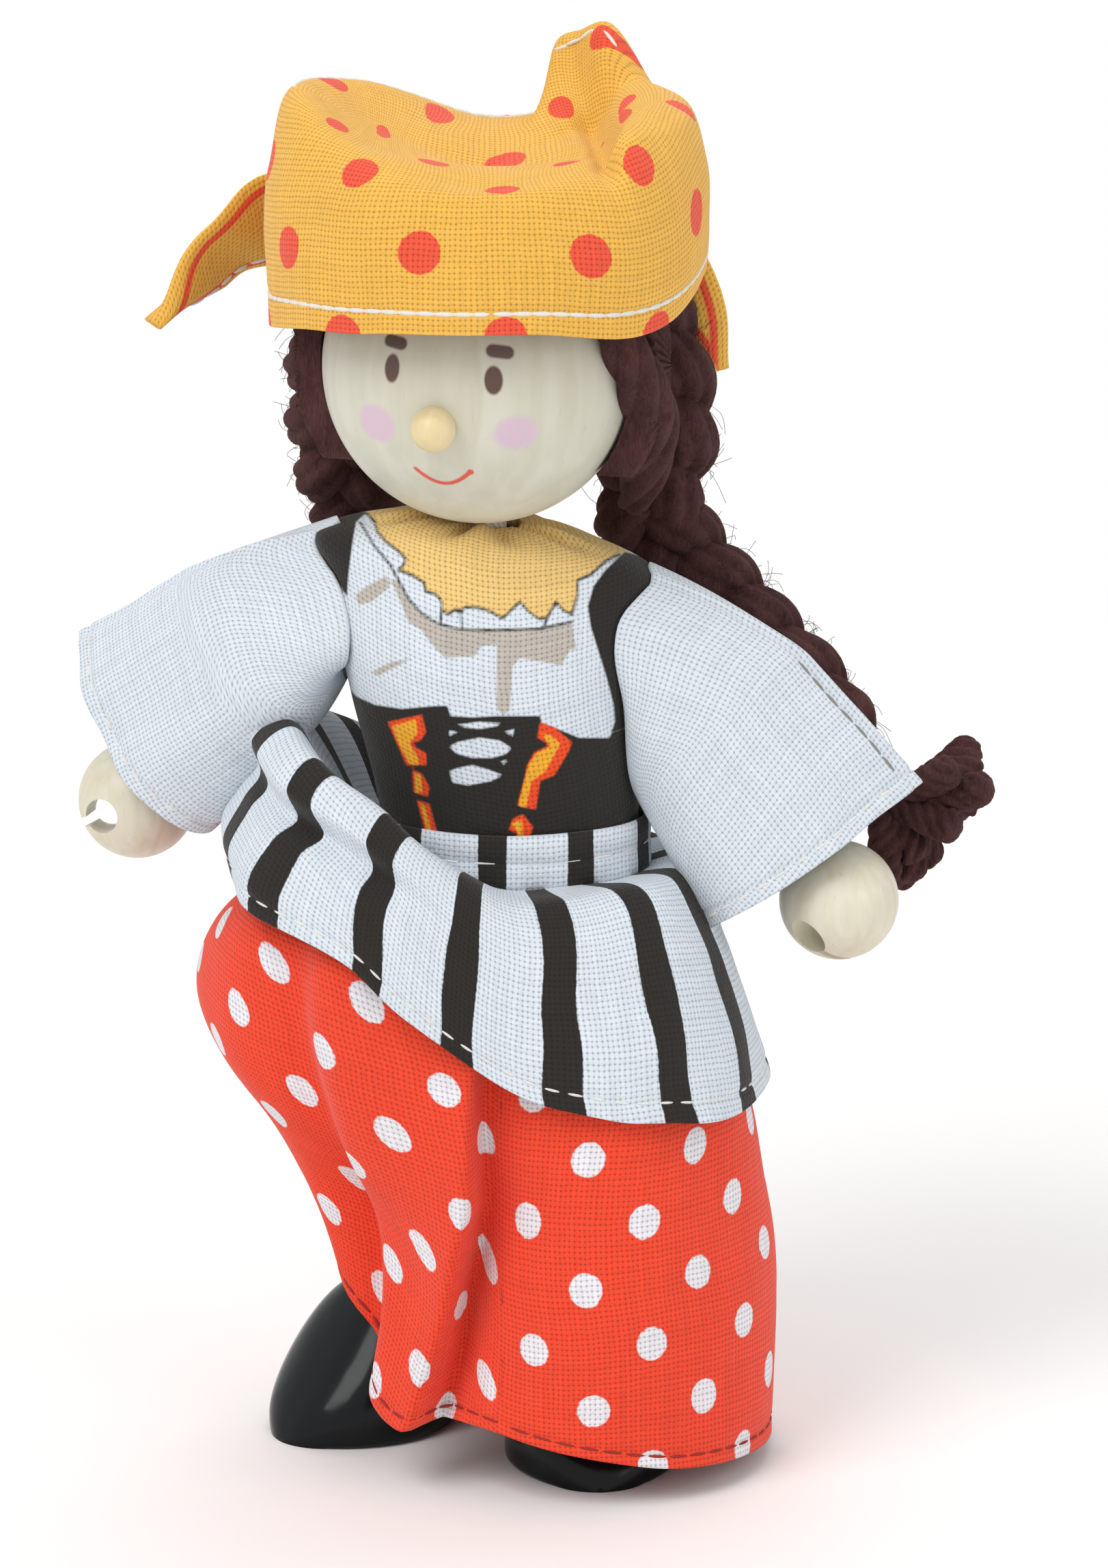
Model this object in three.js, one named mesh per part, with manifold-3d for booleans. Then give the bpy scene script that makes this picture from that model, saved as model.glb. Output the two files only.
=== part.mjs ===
// A bendy doll, 10 cm tall: a wooden ball head, wire limbs wound with thread, wooden hands and shoes, yarn
// plaits, and sewn cotton clothes. Millimetres, +Z up. The doll faces -Y, and +X is the doll's left.
import * as THREE from "three";
import { mergeVertices } from "three/addons/utils/BufferGeometryUtils.js";
import Module from "manifold-3d";

const wasm = await Module();
wasm.setup();

// Clearances
const gap = 0.35;
const bendGap = 0.3;

// Head
const headRadius = 11;
const noseRadius = 1.55;
const faceTurn = -16;
const noseDrop = 9;
const hairThickness = 1.9;
const neckBoreDepth = 6;

// Limbs
const wireRadius = 0.5;
const wrapRadius = 1.5;
const thighLength = 15.5;
const shinLength = 16.5;
const upperArmLength = 11.5;
const forearmLength = 12.4;
const handRadius = 4.2;
const gripHoleRadius = 1.25;
const gripSlotWidth = 0.7;

// Shoes
const shoeLength = 16.4;
const shoeWidth = 12.6;
const shoeHeight = 11.6;
const ankleHeight = 9.4;
const soleFlat = 0.4;

// Stance
const legBend = 0.91;
const hipSpread = 4;
const torsoLength = 25.5;
const shoulderSpread = 11.4;
const shoulderTilt = 1.1;
const neckRise = 2.2;
const headRise = 15.2;

// Cloth
const clothWall = 0.55;
const bodiceWall = 0.6;
const scarfHalfWidth = 15.5;
const scarfHeight = 11.6;
const scarfCorner = 5.2;
const sleeveLength = 21.5;
const armholeRadius = 3.4;
const sleeveStart = 1;
const sleeveTopWidth = 6.4;
const cuffWidth = 18.4;
const cuffDepth = 10.4;
const skirtHemHeight = 1.2;

// Hair
const plaitRadius = 3.9;
const plaitPitch = 6.5;

const vec = (x, y, z) => new THREE.Vector3(x, y, z);
const rad = THREE.MathUtils.degToRad;
const lerp = THREE.MathUtils.lerp;

// Skeleton, worked out from the sizes above
const hipHeight = ankleHeight + (thighLength + shinLength) * legBend;
const waist = vec(-2.8, 5, hipHeight + 8);
const hips = {
  right: vec(waist.x - hipSpread, waist.y, hipHeight),
  left: vec(waist.x + hipSpread, waist.y, hipHeight),
};
const ankles = { right: vec(-11.5, 10.6, ankleHeight), left: vec(3.5, 3.2, ankleHeight) };
const shoulderHeight = hipHeight + torsoLength - 2.2;
const chestX = -3.8;
const shoulders = {
  right: vec(chestX - shoulderSpread, 4.2, shoulderHeight + shoulderTilt),
  left: vec(chestX + shoulderSpread, 4.2, shoulderHeight - shoulderTilt),
};
const neckPivot = vec(chestX, 4.4, shoulderHeight + neckRise);
const headCentre = vec(-4.2, 3.6, neckPivot.z + headRise);

const colours = {
  wood: 0xe6dcc2, nose: 0xebd4a0, yarn: 0x3b2527, thread: 0xe9e5dc, wire: 0xa9adb0, lacquer: 0x14181b,
  scarf: 0xf0b340, white: 0xe3e8ee, black: 0x26231f, red: 0xf04a2c, chest: 0xf2c878,
};

const doll = new THREE.Group();

function add(name, geometry, colour, roughness = 0.8, metalness = 0) {
  const material = new THREE.MeshStandardMaterial({ color: colour, roughness, metalness });
  const mesh = new THREE.Mesh(geometry, material);
  mesh.name = name;
  doll.add(mesh);
  return mesh;
}

// A closed geometry's volume, positive when its faces point out.
function signedVolume(positions, triangles) {
  const [a, b, c] = [vec(), vec(), vec()];
  let sum = 0;
  for (let i = 0; i < triangles.length; i += 3) {
    a.fromArray(positions, 3 * triangles[i]);
    b.fromArray(positions, 3 * triangles[i + 1]);
    c.fromArray(positions, 3 * triangles[i + 2]);
    sum += a.dot(b.cross(c));
  }
  return sum / 6;
}

// Skins rings of points that all have one count. A loft is closed by a fan at each end, and a shell by
// joining its last ring to its first.
function skin(rings, isShell = false) {
  const count = rings[0].length;
  const positions = rings.flatMap((ring) => ring.flatMap((point) => point.toArray()));
  const triangles = [];
  const spans = isShell ? rings.length : rings.length - 1;
  for (let row = 0; row < spans; row++) {
    const next = (row + 1) % rings.length;
    for (let i = 0; i < count; i++) {
      const j = (i + 1) % count;
      triangles.push(row * count + i, row * count + j, next * count + j);
      triangles.push(row * count + i, next * count + j, next * count + i);
    }
  }
  if (!isShell) {
    for (const [row, flip] of [[0, true], [rings.length - 1, false]]) {
      const centre = middleOf(rings[row]);
      const hub = positions.length / 3;
      positions.push(...centre.toArray());
      for (let i = 0; i < count; i++) {
        const pair = [row * count + i, row * count + ((i + 1) % count)];
        triangles.push(...(flip ? [hub, pair[1], pair[0]] : [hub, pair[0], pair[1]]));
      }
    }
  }
  if (signedVolume(positions, triangles) < 0) {
    triangles.reverse();
  }
  const geometry = new THREE.BufferGeometry();
  geometry.setAttribute("position", new THREE.Float32BufferAttribute(positions, 3));
  geometry.setIndex(triangles);
  return geometry;
}

// The middle of a ring of points
const middleOf = (ring) =>
  ring.reduce((sum, point) => sum.add(point), vec(0, 0, 0)).divideScalar(ring.length);

// Rings moved out along the surface that they make, or in where the distance is negative.
function offsetRings(rings, distance) {
  const count = rings[0].length;
  let facing = 0;
  const normals = rings.map((ring, row) => {
    const centre = middleOf(ring);
    return ring.map((point, i) => {
      const around = ring[(i + 1) % count].clone().sub(ring[(i + count - 1) % count]);
      const down = rings[Math.min(row + 1, rings.length - 1)][i].clone().sub(rings[Math.max(row - 1, 0)][i]);
      const normal = around.cross(down).normalize();
      facing += normal.dot(point.clone().sub(centre));
      return normal;
    });
  });
  const step = Math.sign(facing) * distance;
  return rings.map((ring, row) => ring.map((point, i) => {
    return point.clone().addScaledVector(normals[row][i], step);
  }));
}

// Cloth of one thickness. The rings go down it, and round it by the doll's front, right side and back.
const clothShell = (rings, wall) => skin([...rings, ...offsetRings(rings, -wall).reverse()], true);

// The room that a lofted piece needs: its rings grown outward, and at both ends, by a clearance
function roomAround(rings, clearance) {
  const grown = offsetRings(rings, clearance);
  for (const [end, next] of [[0, 1], [rings.length - 1, rings.length - 2]]) {
    const push = middleOf(rings[end]).sub(middleOf(rings[next])).normalize().multiplyScalar(clearance);
    grown[end].forEach((point) => point.add(push));
  }
  return solid(skin(grown));
}

function solid(geometry) {
  const bare = geometry.clone();
  bare.deleteAttribute("normal");
  bare.deleteAttribute("uv");
  const merged = mergeVertices(bare, 1e-4);
  const vertProperties = new Float32Array(merged.attributes.position.array);
  const triVerts = new Uint32Array(merged.index.array);
  if (signedVolume(vertProperties, triVerts) < 0) {
    triVerts.reverse();
  }
  return new wasm.Manifold(new wasm.Mesh({ numProp: 3, vertProperties, triVerts }));
}

function geometryOf(manifold) {
  const mesh = manifold.getMesh();
  const geometry = new THREE.BufferGeometry();
  geometry.setAttribute("position", new THREE.Float32BufferAttribute(mesh.vertProperties, 3));
  geometry.setIndex(Array.from(mesh.triVerts));
  return geometry;
}

// The largest separate body of a cut solid
const largest = (manifold) => manifold.decompose().sort((a, b) => b.volume() - a.volume())[0];

const ball = (radius, at, columns = 24, rows = 16) => {
  return new THREE.SphereGeometry(radius, columns, rows).translate(at.x, at.y, at.z);
};

// Turns a lathe's geometry, whose axis is +Y, to run from one point towards another.
function along(geometry, from, to) {
  const direction = to.clone().sub(from).normalize();
  const turn = new THREE.Quaternion().setFromUnitVectors(vec(0, 1, 0), direction);
  return geometry.applyQuaternion(turn).translate(from.x, from.y, from.z);
}

// A rod with flat ends, between two distances along the line from one point towards another.
function rod(radius, from, to, start, end, sides = 16) {
  const profile = [[0, start], [radius, start], [radius, end], [0, end]];
  return along(new THREE.LatheGeometry(profile.map(([x, y]) => new THREE.Vector2(x, y)), sides), from, to);
}

// A smooth value round the body from values spaced evenly over one turn, starting at the doll's front and
// going by its right side, back and left side.
function aroundBody(values, turn) {
  const place = (((turn % 1) + 1) % 1) * values.length;
  const i = Math.floor(place);
  const t = place - i;
  const at = (k) => values[(i + k + values.length) % values.length];
  const [a, b, c, d] = [at(-1), at(0), at(1), at(2)];
  return b + 0.5 * t * (c - a + t * (2 * a - 5 * b + 4 * c - d + t * (3 * (b - c) + d - a)));
}

// The horizontal direction at a share of a turn: 0 is the front, 0.25 the doll's right, 0.5 its back.
const outward = (turn) => vec(-Math.sin(2 * Math.PI * turn), -Math.cos(2 * Math.PI * turn), 0);

// A smooth value along a list of key values, t from 0 to 1.
function alongKeys(keys, t) {
  const place = Math.min(Math.max(t, 0), 1) * (keys.length - 1);
  const i = Math.min(Math.floor(place), keys.length - 2);
  const u = place - i;
  const at = (k) => keys[Math.min(Math.max(i + k, 0), keys.length - 1)];
  const [a, b, c, d] = [at(-1), at(0), at(1), at(2)];
  return b + 0.5 * u * (c - a + u * (2 * a - 5 * b + 4 * c - d + u * (3 * (b - c) + d - a)));
}

// Head: a bored wooden ball with a bead for a nose
const faceDirection = (azimuth, elevation) => {
  const a = rad(faceTurn + azimuth);
  const e = rad(elevation);
  return vec(Math.sin(a) * Math.cos(e), -Math.cos(a) * Math.cos(e), Math.sin(e));
};
const neckTop = headCentre.z - headRadius + neckBoreDepth;
const neckEnd = vec(headCentre.x, headCentre.y, neckTop);
const headBall = solid(ball(headRadius, headCentre, 28, 18)).subtract(
  solid(rod(wrapRadius + gap, neckPivot, neckEnd, 1, neckPivot.distanceTo(neckEnd) + gap, 12)),
);
add("head_ball", geometryOf(headBall), colours.wood, 0.6);

const noseRise = headRadius + noseRadius * 0.45;
const noseAt = headCentre.clone().addScaledVector(faceDirection(0, -noseDrop), noseRise);
const noseSeat = solid(ball(headRadius + 0.05, headCentre, 32, 20));
const nose = solid(ball(noseRadius, noseAt, 14, 10)).subtract(noseSeat);
add("nose_bead", geometryOf(nose), colours.nose, 0.5);

// Hair: yarn glued over the back and sides of the head, and two plaits tied near their ends
const hairRadius = headRadius + gap + hairThickness;
const faceCut = new THREE.BoxGeometry(60, 30, 60).translate(0, -15 - 1.5, 0).rotateZ(rad(faceTurn));
faceCut.translate(headCentre.x, headCentre.y, headCentre.z);
const napeCut = new THREE.BoxGeometry(60, 60, 30);
napeCut.translate(headCentre.x, headCentre.y, headCentre.z - 15 - 7);
const hairCap = solid(ball(hairRadius, headCentre, 22, 14))
  .subtract(solid(ball(headRadius + gap + 0.1, headCentre, 22, 14)))
  .subtract(solid(faceCut))
  .subtract(solid(napeCut));
add("hair_cap", geometryOf(hairCap), colours.yarn, 0.95);

// Rings round a path, each turned so that it doesn't twist
function sweep(points, rings, sides, radiusAt) {
  const path = new THREE.CatmullRomCurve3(points, false, "centripetal");
  const out = [];
  const side = vec(1, 0, 0);
  for (let row = 0; row <= rings; row++) {
    const s = row / rings;
    const centre = path.getPointAt(s);
    const tangent = path.getTangentAt(s);
    side.addScaledVector(tangent, -side.dot(tangent)).normalize();
    const other = tangent.clone().cross(side);
    const ring = [];
    for (let i = 0; i < sides; i++) {
      const angle = (2 * Math.PI * i) / sides;
      const radius = radiusAt(s, angle, path.getLength());
      const point = centre.clone().addScaledVector(side, radius * Math.cos(angle));
      ring.push(point.addScaledVector(other, radius * Math.sin(angle)));
    }
    out.push(ring);
  }
  return out;
}

const hairRoom = solid(ball(hairRadius + gap, headCentre, 22, 14));
const plaitRooms = [];
function plait(name, points, width) {
  const radiusAt = (s, angle, length) => {
    const bulge = 0.14 * Math.cos(angle) * Math.cos((2 * Math.PI * s * length) / plaitPitch);
    const ends = Math.min(1, 0.55 + 9 * s, 0.6 + 7 * (1 - s));
    return width * lerp(1, 0.8, s) * (1 + bulge) * ends;
  };
  const rings = sweep(points, 22, 10, radiusAt);
  plaitRooms.push(roomAround(rings, gap));
  add(name, geometryOf(largest(solid(skin(rings)).subtract(hairRoom))), colours.yarn, 0.95);
}

const fromHead = (x, y, z) => headCentre.clone().add(vec(x, y, z));
const leftPlaitPath = [
  fromHead(9.5, 8, 4), fromHead(12.2, 7.6, -2.5), fromHead(13.1, 8, -8.2), fromHead(12.6, 9.4, -11.7),
  fromHead(15.2, 10, -16.2), fromHead(18, 10, -20.7), fromHead(22.8, 9, -25.6), fromHead(26.6, 7.6, -30.6),
];
const rightPlaitPath = [
  fromHead(-9, 8.5, 3.2), fromHead(-9.6, 8.9, -2.2), fromHead(-9.8, 10.6, -7.7), fromHead(-9.8, 12.6, -12.7),
  fromHead(-9, 14.6, -17.8), fromHead(-8, 16, -22.3),
];
plait("left_plait", leftPlaitPath, plaitRadius);
plait("right_plait", rightPlaitPath, plaitRadius);

// The tie is a short thread collar past the plait's end, and the tassel opens out below it
function tieAndTassel(side, path, locks, tasselLength) {
  const end = path[path.length - 1];
  const direction = end.clone().sub(path[path.length - 2]).normalize();
  const tieStart = gap;
  const tieLength = 1.4;
  const tieProfile = [[0, 0], [1.5, 0], [1.8, tieLength / 2], [1.5, tieLength], [0, tieLength]];
  const tie = new THREE.LatheGeometry(tieProfile.map(([x, y]) => new THREE.Vector2(x, y)), 12);
  const start = end.clone().addScaledVector(direction, tieStart);
  add(`${side}_plait_tie`, along(tie, start, start.clone().add(direction)), colours.yarn, 0.9);
  const root = start.clone().addScaledVector(direction, tieLength + gap);
  const wide = locks.wide.clone().addScaledVector(direction, -locks.wide.dot(direction)).normalize();
  const thin = direction.clone().cross(wide);
  const fan = [];
  for (let row = 0; row <= 5; row++) {
    const s = row / 5;
    const ring = [];
    for (let i = 0; i < 20; i++) {
      const angle = (2 * Math.PI * i) / 20;
      const lobes = 1 + 0.22 * s * Math.cos(5 * angle);
      const spread = lerp(1.3, locks.width, Math.sqrt(s)) * lobes;
      const middle = root.clone().addScaledVector(direction, tasselLength * s);
      middle.addScaledVector(locks.droop, s * s);
      const point = middle.addScaledVector(wide, spread * Math.cos(angle));
      ring.push(point.addScaledVector(thin, spread * 0.55 * Math.sin(angle)));
    }
    fan.push(ring);
  }
  add(`${side}_tassel`, skin(fan), colours.yarn, 0.95);
}
const leftLocks = { width: 5.6, wide: vec(0.5, 0, 0.85), droop: vec(3.2, 0, 2.6) };
const rightLocks = { width: 3, wide: vec(1, 0, 0), droop: vec(0, 0, -0.5) };
tieAndTassel("left", leftPlaitPath, leftLocks, 6.8);
tieAndTassel("right", rightPlaitPath, rightLocks, 7);

// Limbs: soft wire wound with thread. Each wrap ends in a ball where it bends, and the next one starts
// tapered just clear of that ball. The wire runs through a bore in the wrap.
const ballEnd = wrapRadius + bendGap;
function limb(name, from, to, hasBallEnd, endCut = 0) {
  const length = from.distanceTo(to);
  const bore = wireRadius + gap;
  const stop = hasBallEnd ? length : length - endCut;
  const thin = wrapRadius * 0.72;
  const taper = 1.6;
  const swell = 1.06;
  const profile = [[bore, ballEnd], [thin, ballEnd], [wrapRadius, ballEnd + taper]];
  profile.push([wrapRadius * swell, length / 2], [wrapRadius, stop - (hasBallEnd ? 0 : 0.6)]);
  if (hasBallEnd) {
    for (let step = 1; step <= 3; step++) {
      const angle = (step / 3) * Math.acos(bore / wrapRadius);
      profile.push([wrapRadius * Math.cos(angle), length + wrapRadius * Math.sin(angle)]);
    }
  } else {
    profile.push([wrapRadius * 0.85, stop], [bore, stop]);
  }
  profile.push(profile[0]);
  const wrap = new THREE.LatheGeometry(profile.map(([x, y]) => new THREE.Vector2(x, y)), 12);
  const wrapSolid = solid(along(wrap, from, to));
  const wireStop = hasBallEnd ? length + wrapRadius - 0.25 : stop;
  add(`${name}_wire`, rod(wireRadius, from, to, ballEnd + 0.05, wireStop, 8), colours.wire, 0.35, 0.9);
  add(`${name}_wrap`, geometryOf(wrapSolid), colours.thread, 0.9);
}

// The knee or elbow of two lengths that reach from one point to another, bent towards a direction
function bendPoint(from, to, first, second, towards) {
  const chord = from.distanceTo(to);
  const axis = to.clone().sub(from).normalize();
  const share = (first * first - second * second + chord * chord) / (2 * chord);
  const height = Math.sqrt(Math.max(first * first - share * share, 0));
  const side = towards.clone().addScaledVector(axis, -towards.dot(axis)).normalize();
  return from.clone().addScaledVector(axis, share).addScaledVector(side, height);
}

const legs = {};
for (const side of ["right", "left"]) {
  const forward = side === "right" ? vec(-0.75, -0.65, 0) : vec(0.1, -1, 0);
  const knee = bendPoint(hips[side], ankles[side], thighLength, shinLength, forward);
  legs[side] = { hip: hips[side], knee, ankle: ankles[side] };
  limb(`${side}_thigh`, hips[side], knee, true);
  limb(`${side}_shin`, knee, ankles[side], true);
}

const armDirections = { right: vec(-13.6, 8.6, -17.3).normalize(), left: vec(13.2, -2.4, -19.4).normalize() };
const arms = {};
for (const side of ["right", "left"]) {
  const elbow = shoulders[side].clone().addScaledVector(armDirections[side], upperArmLength);
  const wrist = elbow.clone().addScaledVector(armDirections[side], forearmLength - handRadius);
  const hand = wrist.clone().addScaledVector(armDirections[side], handRadius * 0.95);
  arms[side] = { shoulder: shoulders[side], elbow, wrist, hand };
  add(`${side}_shoulder_knuckle`, ball(wrapRadius, shoulders[side], 12, 8), colours.thread, 0.9);
  limb(`${side}_upper_arm`, shoulders[side], elbow, true);
  limb(`${side}_forearm`, elbow, wrist, true);
}

// Hands: wooden balls, bored for the wrist wire and across for a grip, with a saw cut into the grip hole
for (const side of ["right", "left"]) {
  const { wrist, hand } = arms[side];
  const reach = armDirections[side];
  const gripDirection = side === "right" ? vec(-0.1, -1, 0.15).normalize() : vec(0.75, 0.6, 0).normalize();
  const gripSide = side === "right" ? vec(-2.1, 0, -0.9) : vec(1.2, 0, -1.9);
  const grip = hand.clone().add(gripSide);
  const gripEnd = grip.clone().add(gripDirection);
  const slotTurn = new THREE.Matrix4().lookAt(vec(0, 0, 0), gripDirection, gripSide);
  const slot = new THREE.BoxGeometry(gripSlotWidth, handRadius * 2, handRadius * 3);
  slot.translate(0, handRadius, 0).applyMatrix4(slotTurn).translate(grip.x, grip.y, grip.z);
  const cup = solid(ball(wrapRadius + bendGap, wrist, 14, 10));
  const mouthDepth = handRadius * 1.2;
  const mouthProfile = [[0, 0], [wrapRadius + bendGap, 0], [handRadius * 0.9, -mouthDepth], [0, -mouthDepth]];
  const mouthLathe = new THREE.LatheGeometry(mouthProfile.map(([x, y]) => new THREE.Vector2(x, y)), 14);
  const mouth = along(mouthLathe, wrist, wrist.clone().add(reach));
  const handSolid = solid(ball(handRadius, hand, 16, 10))
    .subtract(cup)
    .subtract(solid(mouth))
    .subtract(solid(rod(gripHoleRadius, grip, gripEnd, -3 * handRadius, 3 * handRadius, 10)))
    .subtract(solid(slot));
  add(`${side}_hand`, geometryOf(handSolid), colours.wood, 0.6);
}

// Shoes: turned and sanded wood with a flat sole, lacquered black, and a cup for the ankle
function shoe(side, centre, heading) {
  const rings = [];
  const stations = 12;
  for (let row = 1; row < stations; row++) {
    const t = 0.5 - 0.5 * Math.cos((Math.PI * row) / stations);
    const y = (t - 0.5) * shoeLength;
    const halfWidth = (shoeWidth / 2) * Math.pow(Math.sin(Math.PI * Math.pow(t, 0.88)), 0.62);
    const rise = lerp(0.62, 1, 0.5 - 0.5 * Math.cos(Math.PI * Math.min(1, t * 1.45)));
    const height = shoeHeight * rise * Math.pow(Math.sin(Math.PI * Math.min(Math.max(t, 0.01), 0.99)), 0.55);
    const ring = [];
    for (let i = 0; i < 18; i++) {
      const angle = (2 * Math.PI * i) / 18;
      const x = halfWidth * Math.sign(Math.cos(angle)) * Math.pow(Math.abs(Math.cos(angle)), 0.8);
      const up = Math.sin(angle);
      const soleRound = Math.min(1.5, height * 0.4);
      const above = soleRound + (height - soleRound) * Math.pow(Math.max(up, 0), 0.95);
      const below = soleRound * (1 - Math.pow(Math.max(-up, 0), 0.45));
      ring.push(vec(x * (up < -0.5 ? 0.9 : 1), y, Math.max(up > 0 ? above : below, 0)));
    }
    rings.push(ring);
  }
  const geometry = skin(rings).rotateZ(rad(heading)).translate(centre.x, centre.y, -soleFlat);
  const ground = new THREE.BoxGeometry(60, 60, 20).translate(centre.x, centre.y, -10);
  const ankle = ankles[side];
  const ankleCut = solid(ball(wrapRadius + bendGap, ankle, 14, 10));
  const throat = new THREE.LatheGeometry([[0, 0], [wrapRadius + bendGap, 0], [wrapRadius + 5.9, 4], [0, 4]]
    .map(([x, y]) => new THREE.Vector2(x, y)), 14);
  throat.rotateX(Math.PI / 2).translate(ankle.x, ankle.y, ankle.z);
  const cut = solid(geometry).subtract(solid(ground)).subtract(ankleCut).subtract(solid(throat));
  add(`${side}_shoe`, geometryOf(cut), colours.lacquer, 0.18);
}
const shoeAnkleShift = 1.2;
function shoeCentre(side, heading) {
  const forward = vec(Math.sin(rad(heading)), -Math.cos(rad(heading)), 0);
  return ankles[side].clone().addScaledVector(forward, shoeAnkleShift);
}
shoe("right", shoeCentre("right", -48), -48);
shoe("left", shoeCentre("left", 4), 4);

// Torso core: a thread-wound block on the wires, with a bar to each shoulder and a ball at each hip
const coreTop = shoulderHeight + 0.8;
const coreBottom = hipHeight + 1.2;
const coreRings = [];
for (let row = 0; row <= 6; row++) {
  const t = row / 6;
  const round = Math.pow(Math.sin(Math.PI * Math.min(Math.max(t, 0.035), 0.965)), 0.35);
  const ring = [];
  for (let i = 0; i < 14; i++) {
    const turn = i / 14;
    const half = vec(lerp(6.2, 6.8, t) * round, lerp(3.6, 4.2, t) * round, 0);
    const centre = vec(lerp(waist.x, chestX, t), 5, lerp(coreBottom, coreTop, t));
    ring.push(centre.add(outward(turn).multiply(half)));
  }
  coreRings.push(ring);
}
let core = solid(skin(coreRings));
for (const side of ["right", "left"]) {
  const inner = vec(chestX, 4.6, shoulderHeight);
  const barLength = inner.distanceTo(shoulders[side]);
  core = core.add(solid(rod(wrapRadius, inner, shoulders[side], 0, barLength - ballEnd, 12)));
  core = core.subtract(solid(ball(ballEnd, shoulders[side], 10, 6)));
  core = core.add(solid(ball(wrapRadius, hips[side], 10, 6)));
  const hipRoot = vec(hips[side].x, hips[side].y, coreBottom + 1);
  core = core.add(solid(rod(wrapRadius * 0.95, hips[side], hipRoot, 0, hips[side].distanceTo(hipRoot))));
}
const neckRoot = vec(neckPivot.x, neckPivot.y, coreTop - 1);
core = core.add(solid(ball(wrapRadius, neckPivot, 10, 6)));
core = core.add(solid(rod(wrapRadius * 0.95, neckRoot, neckPivot, 0, neckRoot.distanceTo(neckPivot))));
add("torso_core", geometryOf(core), colours.thread, 0.9);

limb("neck", neckPivot, neckEnd, false, 0.1);

// Clothes. Heights are set from the waist, and turns go round the body from the doll's front by its right.
const bodyCentre = vec(waist.x, waist.y, 0);
const clothSides = 28;

// Bodice: a sewn blouse and corset, filled out by the chest, open at the neck, waist and armholes
const neckOpening = 3;
const bodiceLength = 23.5;
const bodiceKeys = {
  share: [0, 0.2, 0.42, 0.6, 0.78, 0.9, 0.97, 1],
  halfWidth: [8.8, 9.3, 9.9, 10.5, 11.2, 11.8, 7.6, neckOpening],
  halfDepth: [6.6, 7.2, 7.9, 8.1, 7, 5.8, 4.8, neckOpening],
  shift: [0.8, 0.3, -0.5, -0.9, -1, -1, -0.9, -0.9],
};
const squared = (part) => Math.sign(part) * Math.pow(Math.abs(part), 0.9);
function bodiceRings(rows) {
  const rings = [];
  for (let row = 0; row <= rows; row++) {
    const t = 1 - row / rows;
    const share = alongKeys(bodiceKeys.share, t);
    const ring = [];
    for (let i = 0; i < clothSides; i++) {
      const turn = i / clothSides;
      const direction = outward(turn);
      const x = squared(direction.x) * alongKeys(bodiceKeys.halfWidth, t);
      const y = squared(direction.y) * alongKeys(bodiceKeys.halfDepth, t);
      const tilt = (-shoulderTilt * 1.4 * share * x) / shoulderSpread;
      const height = waist.z - 2 + share * bodiceLength + tilt;
      ring.push(vec(waist.x + alongKeys(bodiceKeys.shift, t) + x, waist.y - 0.4 + y, height));
    }
    rings.push(ring);
  }
  return rings;
}
const bodiceOuter = bodiceRings(10);
let bodice = solid(clothShell(bodiceOuter, bodiceWall));
for (const side of ["right", "left"]) {
  bodice = bodice.subtract(solid(ball(armholeRadius, shoulders[side], 14, 8)));
}
add("bodice", geometryOf(bodice), colours.white, 0.9);
const bodiceRoom = roomAround(bodiceOuter, gap);

// Sleeves: flat bell sleeves, wide at the cuff. Each starts as an upright oval on the bodice's side, turns
// down along the arm, and is cut to meet the bodice.
const armholeHalfHeight = { right: 5.4, left: 4.6 };
const armholeHalfDepth = 4.6;
const armholeInset = 1;
const armholeShare = 0.38;
const cuffUp = { right: vec(-0.43, 0.63, 0.65).normalize(), left: vec(0.79, 0.22, 0.58).normalize() };
const cuffLift = { right: 3.2, left: 0.4 };
const sleeveRoom = {};
for (const side of ["right", "left"]) {
  const reach = armDirections[side];
  const up = cuffUp[side].clone().addScaledVector(reach, -cuffUp[side].dot(reach)).normalize();
  const across = reach.clone().cross(up);
  const inward = side === "right" ? armholeInset : -armholeInset;
  const rings = [];
  const rows = 8;
  for (let row = 0; row <= rows; row++) {
    const t = row / rows;
    const turned = THREE.MathUtils.smoothstep(t, 0, armholeShare);
    const centre = shoulders[side].clone().addScaledVector(reach, lerp(sleeveStart, sleeveLength - 1.5, t));
    centre.addScaledVector(up, cuffLift[side] * t);
    const halfWidth = lerp(sleeveTopWidth, cuffWidth / 2, Math.pow(t, 0.8));
    const halfDepth = lerp(4.9, cuffDepth / 2, t);
    const ring = [];
    for (let i = 0; i < 16; i++) {
      const angle = (2 * Math.PI * i) / 16;
      const pinch = 1 - 0.22 * Math.pow(0.5 + 0.5 * Math.cos(angle), 3) * t;
      const drape = 0.35 * t * Math.cos(3 * angle + 0.8);
      const sideways = Math.sin(angle) * (halfDepth * pinch + drape);
      const point = centre.clone().addScaledVector(up, halfWidth * Math.cos(angle));
      point.addScaledVector(across, sideways);
      const depth = Math.sign(across.y) * armholeHalfDepth * Math.sin(angle);
      const onBodice = vec(inward, depth, armholeHalfHeight[side] * Math.cos(angle)).add(shoulders[side]);
      ring.push(onBodice.lerp(point, turned));
    }
    rings.push(ring);
  }
  const shell = solid(clothShell(rings, clothWall)).subtract(bodiceRoom);
  add(`${side}_sleeve`, geometryOf(largest(shell)), colours.white, 0.9);
  sleeveRoom[side] = roomAround(rings, gap);
}

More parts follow.
